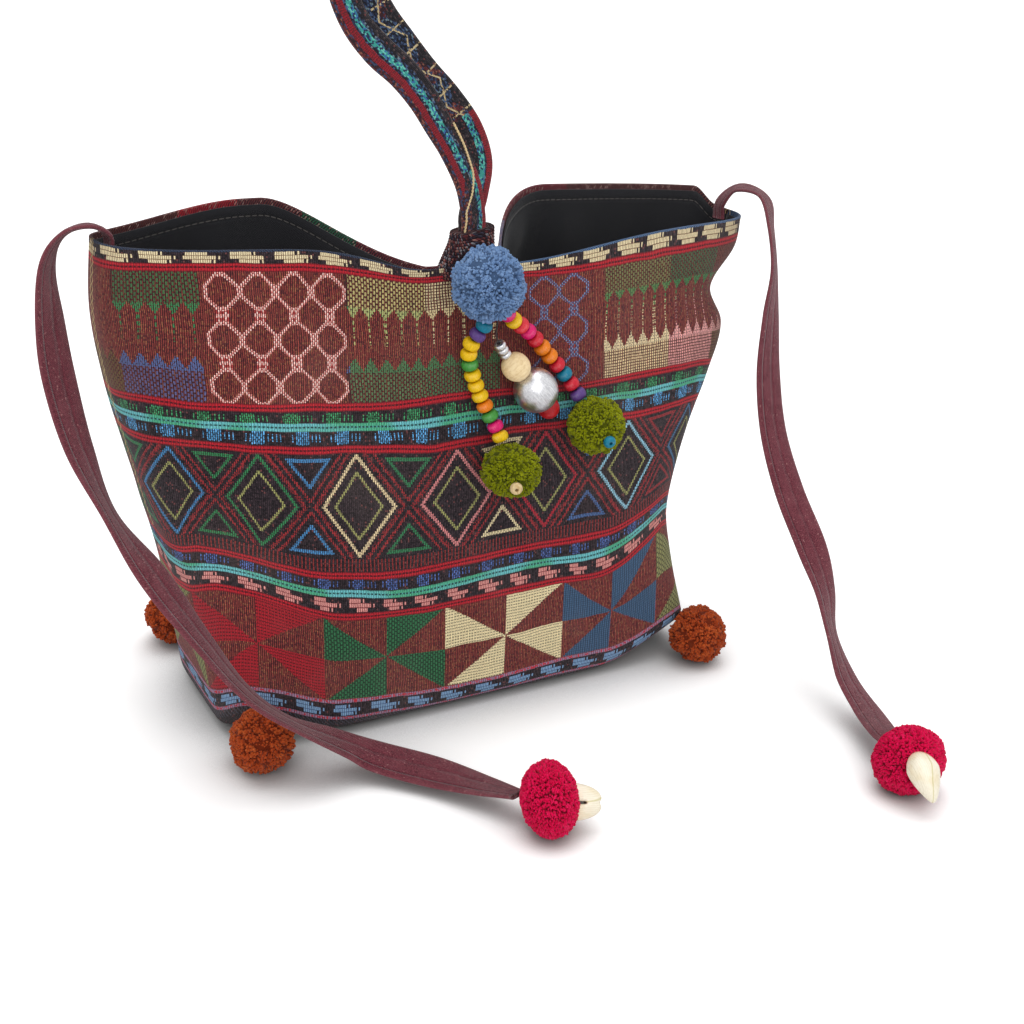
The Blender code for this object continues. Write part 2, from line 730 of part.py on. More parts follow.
def make_thread(name, points, parent):
    """Waxed thread through the bores of the beads."""
    data = bpy.data.curves.new(name, "CURVE")
    data.dimensions = "3D"
    data.bevel_depth = THREAD_RADIUS
    data.bevel_resolution = 2
    data.use_fill_caps = True
    spline = data.splines.new("POLY")
    spline.points.add(len(points) - 1)
    for target, point in zip(spline.points, points):
        target.co = (*(Vector(point) - parent.location), 1.0)
    return add_object(name, data, "thread", parent)


def blue_centre():
    """Centre of the blue pompom, against the collar's front."""
    front = hub_middle() - 0.5 * collar_depth()
    return Vector((HUB_X + BLUE_SHIFT, front - CLEAR - BLUE_RADIUS, hub_top() - BLUE_DROP))


def front_face(x, z):
    """Place of the front wall along Y at a width and a height."""
    share = min(max(x / (RIM_RIGHT if x > 0 else RIM_LEFT), -1.0), 1.0)
    height = (z - EDGE_RADIUS) / (rim_height("front", share) - EDGE_RADIUS)
    height = min(max(height, 0.0), 1.0)
    across = min(abs(x) / half_width(x, height), 1.0)
    return wall_y("front", across, height)


# Strands: shifts from the blue pompom's centre, x and z, and how far each place stands off
# the front face.  The first place is the exit under the blue pompom, given by its x and y.
LEFT_STRAND = {
    "exit": (0.0012, 0.0030),
    "route": ((-0.0006, -0.0226, 0.0132), (-0.0040, -0.0290, 0.0098), (-0.0036, -0.0378, 0.0065),
              (0.0024, -0.0550, 0.0052), (0.0115, -0.0750, 0.0085)),
    "end": (0.0141, -0.0898),
}
MIDDLE_STRAND = {
    "exit": (0.0050, 0.0000),
    "route": ((0.0072, -0.0270, 0.0140), (0.0178, -0.0412, 0.0098), (0.0290, -0.0535, 0.0146)),
    "end": (0.0386, -0.0650),
}
RIGHT_STRAND = {
    "exit": (0.0105, 0.0040),
    "route": ((0.0150, -0.0185, 0.0125), (0.0256, -0.0258, 0.0080), (0.0358, -0.0362, 0.0056),
              (0.0482, -0.0503, 0.0052), (0.0562, -0.0630, 0.0082)),
    "end": (0.0606, -0.0742),
}

LEFT_BEADS = ("teal", "purple", "yellow", "yellow", "green", "yellow", "yellow", "yellow",
              "orange", "green", "magenta", "yellow")
RIGHT_BEADS = ("magenta", "yellow", "coral", "magenta", "red", "orange", "orange", "red",
               "teal", "red", "purple")


def strand_exit(strand):
    """Point just under the blue pompom where a strand's thread leaves it."""
    across, inward = strand["exit"]
    drop = math.sqrt(BLUE_RADIUS ** 2 - across ** 2 - inward ** 2) + CLEAR
    return blue_centre() + Vector((across, inward, -drop))


def strand_path(strand, end_radius):
    """Smooth path of a strand from its exit to the middle of its last piece."""
    centre = blue_centre()
    places = list(strand["route"]) + [(*strand["end"], end_radius + CLEAR + TUFT)]
    points = [strand_exit(strand)]
    for x, z, off in places:
        across, height = centre.x + x, centre.z + z
        points.append(Vector((across, front_face(across, height) - off, height)))
    return smooth_route(points, THREAD_STEP)


def strand_empty(name, strand):
    """Empty on a strand's hinge axis."""
    empty = bpy.data.objects.new(name + "_hinge", None)
    empty.location = strand_exit(strand)
    empty.empty_display_size = 0.01
    bpy.data.collections["crossbody_bag"].objects.link(empty)
    return empty


def thread_beads(side, path, start, pieces, parent, spread):
    """Thread pieces of (name, paint, radius, length, roundness) and return the thread's points."""
    length = path_lengths(path)
    points = [path[0]]
    place = start
    for name, paint, radius, span, roundness in pieces:
        first, last = read_path(path, length, [place, place + span])
        make_bead(side + "_" + name, first, last, radius, paint, parent, roundness)
        points.append(first if len(points) == 1 else 0.5 * (points.pop() + first))
        points.append(last)
        place += span + spread
    return points


def make_bead_strand(side, strand, colours, bead_length, end_paint, end_turn, seed):
    """Strand of wooden beads that ends in a green pompom with a small bead at its tip."""
    parent = strand_empty(side, strand)
    path = strand_path(strand, GREEN_RADIUS)
    total = path_lengths(path)[-1] - GREEN_RADIUS - CLEAR
    spread = (total - len(colours) * bead_length) / (len(colours) + 1.0)
    pieces = [("bead_%02d_%s" % (number, paint), paint, BEAD_RADIUS, bead_length,
               BARREL_ROUNDNESS)
              for number, paint in enumerate(colours, start=1)]
    points = thread_beads(side, path, spread, pieces, parent, spread)
    points.append(read_path(path, path_lengths(path), [total])[0])
    make_thread(side + "_thread", points, parent)
    centre = Vector(path[-1])
    pompom = make_pompom("green_pompom_" + side, centre - parent.location, GREEN_RADIUS,
                         "yarn_green", parent, seed)
    way = Vector(end_turn).normalized()
    near = centre + way * (GREEN_RADIUS + CLEAR)
    make_bead(side + "_end_bead", near, near + way * END_BEAD_LENGTH, END_BEAD_RADIUS,
              end_paint, parent)
    return pompom


def make_middle_strand():
    """Strand of three silver rings, a wooden ball, a silver ball and a red ball."""
    parent = strand_empty("middle", MIDDLE_STRAND)
    path = strand_path(MIDDLE_STRAND, RED_BALL_RADIUS)
    pieces = [("ring_%d" % number, "silver", RING_RADIUS, RING_LENGTH, RING_ROUNDNESS)
              for number in (1, 2, 3)]
    pieces += [(paint + "_ball", paint, radius, 2.0 * radius, BALL_ROUNDNESS)
               for paint, radius in (("wood", WOOD_BALL_RADIUS), ("silver", SILVER_BALL_RADIUS),
                                     ("red", RED_BALL_RADIUS))]
    spans = sum(piece[3] for piece in pieces) + (len(pieces) - 1) * CLEAR
    start = path_lengths(path)[-1] + RED_BALL_RADIUS - spans
    way = (path[-1] - path[-2]) / np.linalg.norm(path[-1] - path[-2])
    path = np.vstack((path, path[-1] + way * THREAD_TAIL))
    points = thread_beads("middle", path, start, pieces, parent, CLEAR)
    make_thread("middle_thread", points, parent)


# Ties and shells: stations of x, y, z, the way the face looks, and the share of the width
TIE_LEFT = (
    (-0.1576, 0.000, 0.229, -1.0, 0.0, 0.0, 0.5),
    (-0.1575, -0.001, 0.2385, -0.8, -0.1, -0.6, 0.55),
    (-0.1655, -0.002, 0.2430, 0.1, -0.1, -1.0, 0.6),
    (-0.177, -0.004, 0.240, 0.45, -0.4, -0.8, 0.75),
    (-0.185, -0.009, 0.228, 0.8, -0.6, -0.1, 0.9),
    (-0.187, -0.0155, 0.207, 0.65, -0.75, 0.2, 1.0),
    (-0.1865, -0.0215, 0.184, 0.5, -0.8, 0.25, 1.0),
    (-0.1825, -0.0315, 0.155, 0.6, -0.65, 0.4, 1.0),
    (-0.175, -0.0455, 0.129, 0.8, -0.3, 0.55, 1.0),
    (-0.162, -0.0615, 0.1045, 0.5, -0.6, 0.65, 1.0),
    (-0.148, -0.076, 0.080, 0.65, -0.45, 0.6, 1.0),
    (-0.131, -0.087, 0.0535, 0.75, -0.2, 0.65, 1.0),
    (-0.112, -0.0925, 0.036, 0.6, 0.0, 0.8, 1.0),
    (-0.087, -0.090, 0.018, 0.5, -0.3, 0.8, 1.0),
    (-0.072, -0.0965, 0.0105, 0.05, -0.4, 0.9, 1.0),
    (-0.053, -0.115, 0.0083, -0.2, -0.2, 0.95, 1.0),
    (-0.0375, -0.1375, 0.0095, -0.05, 0.05, 1.0, 0.85),
    (-0.0307, -0.1546, 0.0138, 0.0, 0.15, 1.0, 0.5),
)
TIE_RIGHT = (
    (0.1643, -0.0005, 0.226, -1.0, 0.0, 0.1, 0.5),
    (0.1648, -0.0005, 0.2345, -0.9, 0.15, 0.4, 0.55),
    (0.170, -0.0075, 0.243, -0.35, 0.15, 0.95, 0.6),
    (0.174, -0.0245, 0.241, 0.4, -0.4, 0.8, 0.7),
    (0.172, -0.035, 0.228, 0.7, -0.65, 0.35, 0.8),
    (0.1705, -0.0435, 0.208, 0.7, -0.7, 0.15, 0.95),
    (0.168, -0.048, 0.185, 0.45, -0.9, 0.1, 1.0),
    (0.1675, -0.052, 0.155, 0.2, -0.95, 0.2, 1.0),
    (0.1685, -0.0605, 0.125, 0.1, -0.9, 0.4, 1.0),
    (0.169, -0.078, 0.0985, -0.05, -0.75, 0.65, 1.0),
    (0.170, -0.099, 0.0755, -0.1, -0.75, 0.65, 1.0),
    (0.1695, -0.114, 0.057, 0.3, -0.8, 0.5, 1.0),
    (0.167, -0.126, 0.0385, 0.6, -0.7, 0.4, 1.0),
    (0.1665, -0.142, 0.0205, 0.35, -0.5, 0.75, 1.0),
    (0.1645, -0.1625, 0.012, 0.2, -0.15, 0.95, 1.0),
    (0.156, -0.1845, 0.013, 0.1, 0.0, 1.0, 0.85),
    (0.1515, -0.197, 0.015, 0.1, 0.0, 1.0, 0.6),
)
CRIMSON_LEFT = ((-0.0218, -0.1670, 0.0168), (0.87, -0.45, 0.2))
CRIMSON_RIGHT = ((0.1467, -0.2099, 0.0165), (-0.35, -0.93, 0.0))
SHELL_LEFT = ((-0.0120, -0.1720, 0.0155), (0.89, -0.45, 0.0), (-0.42, -0.75, 0.5))
SHELL_RIGHT = ((0.1400, -0.2269, 0.0190), (-0.125, -0.754, -0.644), (0.08, 0.486, -0.585))


def shell_mesh(name, grow):
    """Egg-shaped shell, flat below, grown by a clearance for its pocket."""
    build = bmesh.new()
    bmesh.ops.create_uvsphere(build, u_segments=SHELL_SEGMENTS, v_segments=SHELL_RINGS,
                              radius=1.0)
    for vert in build.verts:
        along = vert.co.z
        taper = 1.0 - SHELL_TAPER * along
        rise = vert.co.y if vert.co.y > 0 else SHELL_FLAT * vert.co.y
        vert.co = Vector((vert.co.x * taper * (0.5 * SHELL_WIDTH + grow),
                          rise * taper * (SHELL_BACK * SHELL_HEIGHT + grow),
                          along * (0.5 * SHELL_LENGTH + grow)))
    mesh = bpy.data.meshes.new(name)
    build.to_mesh(mesh)
    build.free()
    return mesh


def shell_place(place):
    """Matrix that lays a shell's length and its flat side along two directions."""
    centre, length, under = (Vector(part) for part in place)
    length.normalize()
    back = (-under + under.dot(length) * length).normalized()
    side = back.cross(length)
    turn = Matrix((side, back, length)).transposed().to_4x4()
    return Matrix.Translation(centre) @ turn


def make_shell(side, place, pompom):
    """Cowrie with a slit along its flat side, set in a pocket of the pompom's yarn."""
    mesh = shell_mesh("cowrie_shell_" + side, 0.0)
    mesh.shade_smooth()
    shell = add_object("cowrie_shell_" + side, mesh, "shell")
    shell.matrix_world = shell_place(place)
    slit = box("slit " + side, (-0.5 * SHELL_SLIT, -0.5 * SHELL_HEIGHT, -SLIT_REACH * SHELL_LENGTH),
               (0.5 * SHELL_SLIT, -SLIT_FLOOR * SHELL_HEIGHT, SLIT_REACH * SHELL_LENGTH))
    slit.matrix_world = shell_place(place)
    cut(shell, slit)
    pocket = hide_cutter("pocket " + side, shell_mesh("pocket " + side, CLEAR))
    pocket.matrix_world = shell_place(place)
    cut(pompom, pocket)
    return shell


def make_ties():
    """Both ties with the crimson pompom and the cowrie at each end."""
    for side, stations, (centre, way), place, seed in (
            ("left", TIE_LEFT, CRIMSON_LEFT, SHELL_LEFT, 5.0),
            ("right", TIE_RIGHT, CRIMSON_RIGHT, SHELL_RIGHT, 6.0)):
        make_band("tie_" + side, stations, TIE_WIDTH, TIE_THICKNESS, "tie", BAND_STEP)
        pompom = make_pompom("crimson_pompom_" + side, centre, CRIMSON_RADIUS, "yarn_crimson",
                             seed=seed, flat=CRIMSON_FLAT, way=way)
        make_shell(side, place, pompom)


def make_corner_pompoms():
    """Rust pompom at each corner of the base, its neck sewn to the turned edge."""
    for face, name, side, out, seed in (
            ("front", "left", -1.0, (-0.010, 0.010), 1.0),
            ("front", "right", 1.0, (0.0025, 0.0055), 2.0),
            ("back", "left", -1.0, (-0.0100, 0.0140), 3.0),
            ("back", "right", 1.0, (-0.001, 0.007), 4.0)):
        deep = BASE_HALF_DEPTH + out[1]
        centre = Vector((side * (BASE_HALF_WIDTH + out[0]), -deep if face == "front" else deep,
                         RUST_RADIUS))
        corner = min((Vector(point) for point in edge_rows(face).reshape(-1, 3).tolist()),
                     key=lambda point: (point - centre).length)
        make_pompom("rust_pompom_%s_%s" % (face, name), centre, RUST_RADIUS, "yarn_rust",
                    seed=seed, sewn_to=corner)


def build_bag():
    """Model the whole bag."""
    clear_scene()
    new_collection("crossbody_bag")
    new_collection("cutters")
    make_panel("front")
    make_panel("back")
    make_base()
    make_lining()
    make_collar()
    make_strap()
    make_pompom("blue_pompom", blue_centre(), BLUE_RADIUS, "yarn_blue", seed=0.5)
    make_bead_strand("left", LEFT_STRAND, LEFT_BEADS, LEFT_BEAD_LENGTH, "beige",
                     (-0.32, -0.92, -0.19), 7.0)
    make_middle_strand()
    make_bead_strand("right", RIGHT_STRAND, RIGHT_BEADS, RIGHT_BEAD_LENGTH, "teal",
                     (-0.08, -0.90, -0.18), 8.0)
    make_ties()
    make_corner_pompoms()


build_bag()
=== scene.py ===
"""Looks of the crossbody bag: cloth, pompoms, beads, ties and shells on the frame."""
import math
import random
from functools import partialmethod

import bmesh
import bpy
import numpy as np
from mathutils import Matrix, Vector, noise


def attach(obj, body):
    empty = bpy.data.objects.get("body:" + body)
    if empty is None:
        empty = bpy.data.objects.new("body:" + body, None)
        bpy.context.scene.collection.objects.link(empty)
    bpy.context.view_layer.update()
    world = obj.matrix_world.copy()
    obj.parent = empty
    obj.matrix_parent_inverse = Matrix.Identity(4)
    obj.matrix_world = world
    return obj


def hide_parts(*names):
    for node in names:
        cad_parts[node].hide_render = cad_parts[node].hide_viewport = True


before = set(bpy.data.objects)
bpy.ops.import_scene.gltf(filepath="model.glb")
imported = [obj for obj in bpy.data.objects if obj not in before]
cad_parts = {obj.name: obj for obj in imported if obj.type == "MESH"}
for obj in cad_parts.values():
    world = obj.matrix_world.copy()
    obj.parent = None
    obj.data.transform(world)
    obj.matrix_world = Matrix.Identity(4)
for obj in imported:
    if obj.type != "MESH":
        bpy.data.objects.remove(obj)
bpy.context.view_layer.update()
RANDOM = random.Random(11)
noise.seed_set(11)

# Sizes shared with the part's source, in metres
CLEAR = 0.0003
BASE_HALF_WIDTH = 0.128
BASE_HALF_DEPTH = 0.058
RIM_LEFT = 0.164
RIM_RIGHT = 0.172
RIM_HEIGHT_LEFT = 0.2365
RIM_HEIGHT_MIDDLE = 0.2355
RIM_HEIGHT_RIGHT = 0.2295
MOUTH_FRONT = 0.044
MOUTH_BACK = 0.022
BACK_LOBE_RISE = 0.0098
LOBE_END_LEFT = 0.45
LOBE_END_RIGHT = 0.08
CLOTH = 0.0014
LINING = 0.0008
EDGE_RADIUS = 0.012
CORNER_LIFT = 0.015
HUB_X = -0.006
HUB_SAG = 0.0130
HUB_STACK = 0.0062
HUB_FLAT = 0.0185
HUB_FOLD = 0.058
FRONT_FOLD_LEFT = 0.036
FRONT_FOLD_RIGHT = 0.072
FOLD_REACH = 0.55
LEFT_FLARE = ((0.0, 0.0), (0.2, 0.2), (0.37, 0.43), (0.45, 0.56), (0.58, 0.75), (0.71, 0.93),
              (0.85, 1.05), (1.0, 1.0))
RIGHT_FLARE = ((0.0, 0.12), (0.12, 0.0), (0.3, -0.08), (0.5, 0.26), (0.63, 0.58), (0.75, 0.80),
               (0.84, 0.61), (0.93, 0.93), (1.0, 1.0))
BASE_SQUARENESS_LEFT = 5.5
BASE_SQUARENESS_RIGHT = 8.0
RIM_SQUARENESS = 2.6
LOBE_SQUARENESS = 1.4
BLUE_RADIUS = 0.0173
GREEN_RADIUS = 0.0135
RUST_RADIUS = 0.0155
CRIMSON_RADIUS = 0.0175
CRIMSON_FLAT = 0.75
BEAD_RADIUS = 0.0040
TIE_WIDTH = 0.0165
TIE_THICKNESS = 0.0024


# Small helpers


def smoothstep(value):
    """Ease from 0 to 1, for numbers and arrays."""
    value = np.clip(value, 0.0, 1.0)
    return value * value * (3.0 - 2.0 * value)


def curve_value(points, place):
    """Read a smooth curve through (place, value) points."""
    places = np.array([point[0] for point in points])
    values = np.array([point[1] for point in points])
    slopes = np.empty(len(points))
    for index in range(len(points)):
        low, high = max(index - 1, 0), min(index + 1, len(points) - 1)
        slopes[index] = (values[high] - values[low]) / (places[high] - places[low])
    place = np.asarray(place, float)
    index = np.clip(np.searchsorted(places, place) - 1, 0, len(points) - 2)
    span = places[index + 1] - places[index]
    t = (place - places[index]) / span
    rise = values[index] * (1 + 2 * t) * (1 - t) ** 2 + values[index + 1] * t * t * (3 - 2 * t)
    return rise + span * (slopes[index] * t * (1 - t) ** 2 - slopes[index + 1] * t * t * (1 - t))


def unit(rows):
    """Vectors at length 1."""
    return rows / np.linalg.norm(rows, axis=-1, keepdims=True)


def new_object(name, mesh, material, parent_body="root", replaces=()):
    """Put a mesh in the scene, riding on a body and standing for CAD nodes."""
    item = bpy.data.objects.new(name, mesh)
    bpy.context.scene.collection.objects.link(item)
    mesh.materials.append(material)
    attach(item, parent_body)
    if replaces:
        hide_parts(*replaces)
    return item


def mesh_from(name, verts, faces, smooth=True):
    """Make a mesh from arrays of points and faces."""
    mesh = bpy.data.meshes.new(name)
    mesh.from_pydata([tuple(v) for v in verts], [], [tuple(f) for f in faces])
    if smooth:
        mesh.shade_smooth()
    mesh.update()
    return mesh


# Node materials


def srgb(*channels):
    """Linear colour from 0-255 channels."""
    return tuple(((c / 255.0 + 0.055) / 1.055) ** 2.4 if c > 10 else c / 255.0 / 12.92
                 for c in channels)


def toned(colour, share):
    """Linear colour of 0-255 channels, darkened to a share."""
    return [share * c for c in srgb(*colour)] + [1.0]


def put(target, source):
    """Link a value or set a constant on a socket; a tuple is a colour of 0-255 channels."""
    if isinstance(source, Value):
        source.tree.links.new(source.socket, target)
    elif isinstance(source, tuple):
        target.default_value = (*srgb(*source), 1.0)
    else:
        target.default_value = source


def add_node(tree, kind, inputs=(), **settings):
    """New node with its settings and its inputs, given as pairs of socket and value."""
    node = tree.nodes.new("ShaderNode" + kind)
    for name, value in settings.items():
        setattr(node, name, value)
    for key, value in inputs:
        put(node.inputs[key], value)
    return node


class Value:
    """A socket in a node tree that takes part in sums like a number."""

    def __init__(self, socket):
        self.socket = socket
        self.tree = socket.id_data

    def math(self, operation, *others):
        """Result of a math node for this value and others."""
        node = add_node(self.tree, "Math", enumerate((self, *others)), operation=operation)
        return Value(node.outputs[0])

    __add__ = __radd__ = partialmethod(math, "ADD")
    __mul__ = __rmul__ = partialmethod(math, "MULTIPLY")
    __sub__ = partialmethod(math, "SUBTRACT")
    __rsub__ = partialmethod(math, "MULTIPLY_ADD", -1.0)
    __truediv__ = partialmethod(math, "DIVIDE")
    __abs__ = partialmethod(math, "ABSOLUTE")
    __gt__ = partialmethod(math, "GREATER_THAN")
    __lt__ = partialmethod(math, "LESS_THAN")
    floor = partialmethod(math, "FLOOR")
    fract = partialmethod(math, "FRACT")
    max = partialmethod(math, "MAXIMUM")
    min = partialmethod(math, "MINIMUM")

    def between(self, low, high):
        """1 where the value lies from low to high."""
        return abs(self - 0.5 * (low + high)) < 0.5 * (high - low)

    def smooth(self, low, high):
        """Ease from 0 at low to 1 at high."""
        inputs = (("Value", self), ("From Min", low), ("From Max", high))
        node = add_node(self.tree, "MapRange", inputs, interpolation_type="SMOOTHSTEP")
        return Value(node.outputs["Result"])

    def blend(self, first, second):
        """First where the value is 0 and second where it is 1."""
        inputs = ((0, self), (2, first), (3, second))
        return Value(add_node(self.tree, "Mix", inputs, data_type="FLOAT").outputs[0])

    def odd(self):
        """0 for even whole numbers and 0.5 for odd ones."""
        return (self * 0.5).fract()

    def from_middle(self):
        """Distance of a place in a cell from the cell's middle."""
        return abs(self.fract() - 0.5)


def mix(factor, first, second, blend="MIX"):
    """Mix two colours."""
    tree = next(part.tree for part in (factor, first, second) if isinstance(part, Value))
    inputs = ((0, factor), (6, first), (7, second))
    node = add_node(tree, "Mix", inputs, data_type="RGBA", blend_type=blend)
    return Value(node.outputs[2])


def ramp(value, stops, constant=False):
    """Colour ramp read at a value; stops are place, colour."""
    node = add_node(value.tree, "ValToRGB")
    node.color_ramp.interpolation = "CONSTANT" if constant else "LINEAR"
    elements = node.color_ramp.elements
    while len(elements) < len(stops):
        elements.new(1.0)
    for element, (place, colour) in zip(elements, stops):
        element.position = place
        element.color = (*srgb(*colour), 1.0)
    put(node.inputs[0], value)
    return Value(node.outputs[0])


def noise_value(vector, scale, detail=2.0, rough=0.5):
    """Noise from 0 to 1 at a scale."""
    inputs = (("Scale", scale), ("Detail", detail), ("Roughness", rough), ("Vector", vector))
    return Value(add_node(vector.tree, "TexNoise", inputs).outputs["Fac"])


def grey(value):
    """Grey colour from a value."""
    return Value(add_node(value.tree, "CombineColor", enumerate([value] * 3)).outputs[0])


def stretched(place, scale, rotation=(0.0, 0.0, 0.0)):
    """Coordinates scaled and turned."""
    inputs = (("Scale", list(scale)), ("Rotation", list(rotation)), ("Vector", place))
    return Value(add_node(place.tree, "Mapping", inputs).outputs[0])


class Look:
    """A material in the making: its shader and the colour laid on so far."""

    def __init__(self, name, roughness, **sockets):
        self.made = bpy.data.materials.new(name)
        self.made.use_nodes = True
        self.tree = self.made.node_tree
        self.inputs = self.tree.nodes["Principled BSDF"].inputs
        self.colour = None
        for socket, value in {"Roughness": roughness, **sockets}.items():
            self.inputs[socket.replace("_", " ")].default_value = value

    def uv(self, name):
        """Places across and along in a UV map, and both as a vector."""
        vector = Value(add_node(self.tree, "UVMap", uv_map=name).outputs[0])
        split = add_node(self.tree, "SeparateXYZ", ((0, vector),))
        return Value(split.outputs[0]), Value(split.outputs[1]), vector

    def place(self):
        """Object coordinates."""
        return Value(add_node(self.tree, "TexCoord").outputs["Object"])

    def attribute(self, name):
        """Value stored on the points of a mesh."""
        return Value(add_node(self.tree, "Attribute", attribute_name=name).outputs["Fac"])

    def lay(self, mask, colour, blend="MIX"):
        """Lay a colour over the one so far where the mask is 1."""
        self.colour = mix(mask, self.colour, colour, blend)

    def done(self, roughness, relief, distance, strength):
        """Link the colour, a roughness if there is one, and the relief; return the material."""
        put(self.inputs["Base Color"], self.colour)
        if roughness is not None:
            put(self.inputs["Roughness"], roughness)
        inputs = (("Distance", distance), ("Strength", strength), ("Height", relief))
        put(self.inputs["Normal"], Value(add_node(self.tree, "Bump", inputs).outputs[0]))
        return self.made


# Camera, lamps and floor


def make_camera():
    """Camera at the photograph's viewing angle."""
    place = Vector((-0.3043, -0.6206, 0.3785))
    yaw, pitch, roll, focal = -0.5154, math.radians(23.0), 0.0464, 1450.0
    forward = Vector((-math.sin(yaw) * math.cos(pitch), math.cos(yaw) * math.cos(pitch),
                      -math.sin(pitch)))
    right = Vector((math.cos(yaw), math.sin(yaw), 0.0))
    up = right.cross(forward)
    side = math.cos(roll) * right + math.sin(roll) * up
    top = -math.sin(roll) * right + math.cos(roll) * up
    data = bpy.data.cameras.new("camera")
    data.sensor_width = 36.0
    data.lens = 36.0 * focal / 1024.0
    data.clip_start = 0.01
    camera = bpy.data.objects.new("camera", data)
    bpy.context.scene.collection.objects.link(camera)
    camera.matrix_world = (Matrix.Translation(place)
                           @ Matrix((side, top, -forward)).transposed().to_4x4())
    bpy.context.scene.camera = camera


# Strength of the surroundings, and the lamps: direction, strength and softness in degrees
WORLD_LIGHT = 0.68
LAMPS = (("key lamp", (0.10, -0.05, -1.0), 0.90, 50.0),
         ("front lamp", (0.30, 0.85, -0.55), 0.78, 50.0))
FLOOR_GLOW = 0.42
FLOOR_HALF = 12.0
FLOOR_DROP = 0.0002
# Colours of the floor in shade and in the open, and the reach of the shade
FLOOR_DARK = [0.42, 0.42, 0.42, 1.0]
FLOOR_PALE = [0.86, 0.86, 0.86, 1.0]
FLOOR_SHADE_REACH = 0.07


def make_studio():
    """Pale floor with a painted shadow near the object, white surroundings and soft lamps."""
    scene = bpy.context.scene
    scene.view_settings.view_transform = "Standard"
    scene.world = bpy.data.worlds.new("studio")
    scene.world.use_nodes = True
    tree = scene.world.node_tree
    back = tree.nodes["Background"]
    path = add_node(tree, "LightPath")
    seen, shiny, through = (Value(path.outputs["Is %s Ray" % kind])
                            for kind in ("Camera", "Glossy", "Transmission"))
    shown = seen.max(shiny).max(through)
    put(back.inputs["Color"], (255, 255, 255))
    put(back.inputs["Strength"], shown * (1.0 - WORLD_LIGHT) + WORLD_LIGHT)
    for name, aim, strength, spread in LAMPS:
        data = bpy.data.lights.new(name, "SUN")
        data.energy = strength
        data.angle = math.radians(spread)
        lamp = bpy.data.objects.new(name, data)
        scene.collection.objects.link(lamp)
        lamp.rotation_euler = Vector(aim).to_track_quat("-Z", "Y").to_euler()
    look = Look("floor_paint", 0.9, Specular_IOR_Level=0.1)
    path = add_node(look.tree, "LightPath")
    put(look.inputs["Emission Color"], (255, 255, 255))
    open_sky = add_node(look.tree, "AmbientOcclusion", samples=8)
    put(open_sky.inputs["Distance"], FLOOR_SHADE_REACH)
    openness = Value(open_sky.outputs["AO"])
    # Painted shadow: the floor's colour turns dark where the ambient occlusion finds the object
    # near
    put(look.inputs["Base Color"], mix(openness.smooth(0.1, 0.75), FLOOR_DARK, FLOOR_PALE))
    # Painted shadow: the floor's glow for the camera also fades out near the object
    lit = openness.smooth(0.4, 0.97)
    put(look.inputs["Emission Strength"],
        Value(path.outputs["Is Camera Ray"]) * lit * FLOOR_GLOW)
    corners = [(x * FLOOR_HALF, y * FLOOR_HALF, 0.0)
               for x, y in ((-1, -1), (1, -1), (1, 1), (-1, 1))]
    floor = bpy.data.objects.new("floor", mesh_from("floor", corners, [(0, 1, 2, 3)], False))
    scene.collection.objects.link(floor)
    floor.location.z = -FLOOR_DROP
    floor.data.materials.append(look.made)


make_camera()
make_studio()


# Shape of the body, as in the part's source but for whole arrays of places


def rim_share(across):
    """Rim's half width on the side of each place."""
    return np.where(across > 0, RIM_RIGHT, RIM_LEFT)


def half_width(across, height):
    """Half width of the body on the side of each place, height 0 base to 1 rim."""
    flare = np.where(across > 0, curve_value(RIGHT_FLARE, height), curve_value(LEFT_FLARE, height))
    return BASE_HALF_WIDTH + (rim_share(across) - BASE_HALF_WIDTH) * flare


def depth(face, height):
    """Depth of the front or the back wall from the side seams."""
    if face == "front":
        return BASE_HALF_DEPTH + (MOUTH_FRONT - BASE_HALF_DEPTH) * height ** 1.8
    return BASE_HALF_DEPTH + (MOUTH_BACK - BASE_HALF_DEPTH) * height ** 1.2


def squareness(face, across, height):
    """Exponent of the section's superellipse at each place."""
    base = np.where(across > 0, BASE_SQUARENESS_RIGHT, BASE_SQUARENESS_LEFT)
    value = RIM_SQUARENESS + (base - RIM_SQUARENESS) * (1.0 - height) ** 2.5
    return value + LOBE_SQUARENESS * height if face == "back" else value


def from_hub(across):
    """Distance along the rim from the flat of the gather."""
    return np.maximum(np.abs(across * rim_share(across) - HUB_X) - HUB_FLAT, 0.0)


def rim_height(face, across):
    """Height of the rim at each share of the half width."""
    across = np.asarray(across, float)
    corner = np.where(across > 0, RIM_HEIGHT_RIGHT, RIM_HEIGHT_LEFT)
    line = RIM_HEIGHT_MIDDLE + (corner - RIM_HEIGHT_MIDDLE) * across * across
    if face == "front":
        fold = np.where(across > 0, FRONT_FOLD_RIGHT, FRONT_FOLD_LEFT)
        sag = HUB_SAG * np.exp(-(from_hub(across) / fold) ** 2)
        return line - sag * (1.0 - across ** 4)
    end = np.where(across > 0, LOBE_END_RIGHT, LOBE_END_LEFT)
    lobe = line + BACK_LOBE_RISE * smoothstep((1.0 - np.abs(across)) / end)
    share = np.minimum(from_hub(across) / HUB_FOLD, 1.0)
    rise = np.where(across > 0, 1.0 - (1.0 - share) ** 2, smoothstep(share))
    hub = RIM_HEIGHT_MIDDLE - HUB_SAG
    return hub + (lobe - hub) * rise


def wall_y(face, across, height):
    """Place of the outer wall along Y at each share of the half width."""
    across = np.asarray(across, float)
    power = squareness(face, across, height)
    reach = np.clip(1.0 - np.abs(across) ** power, 0.0, 1.0) ** (1.0 / power) * depth(face, height)
    if face == "front":
        return -reach
    pull = (1.0 - np.minimum(from_hub(across) / HUB_FOLD, 1.0)) ** 2
    pull = pull * smoothstep((height - 1.0 + FOLD_REACH) / FOLD_REACH)
    return reach + pull * (HUB_STACK - MOUTH_FRONT - reach)


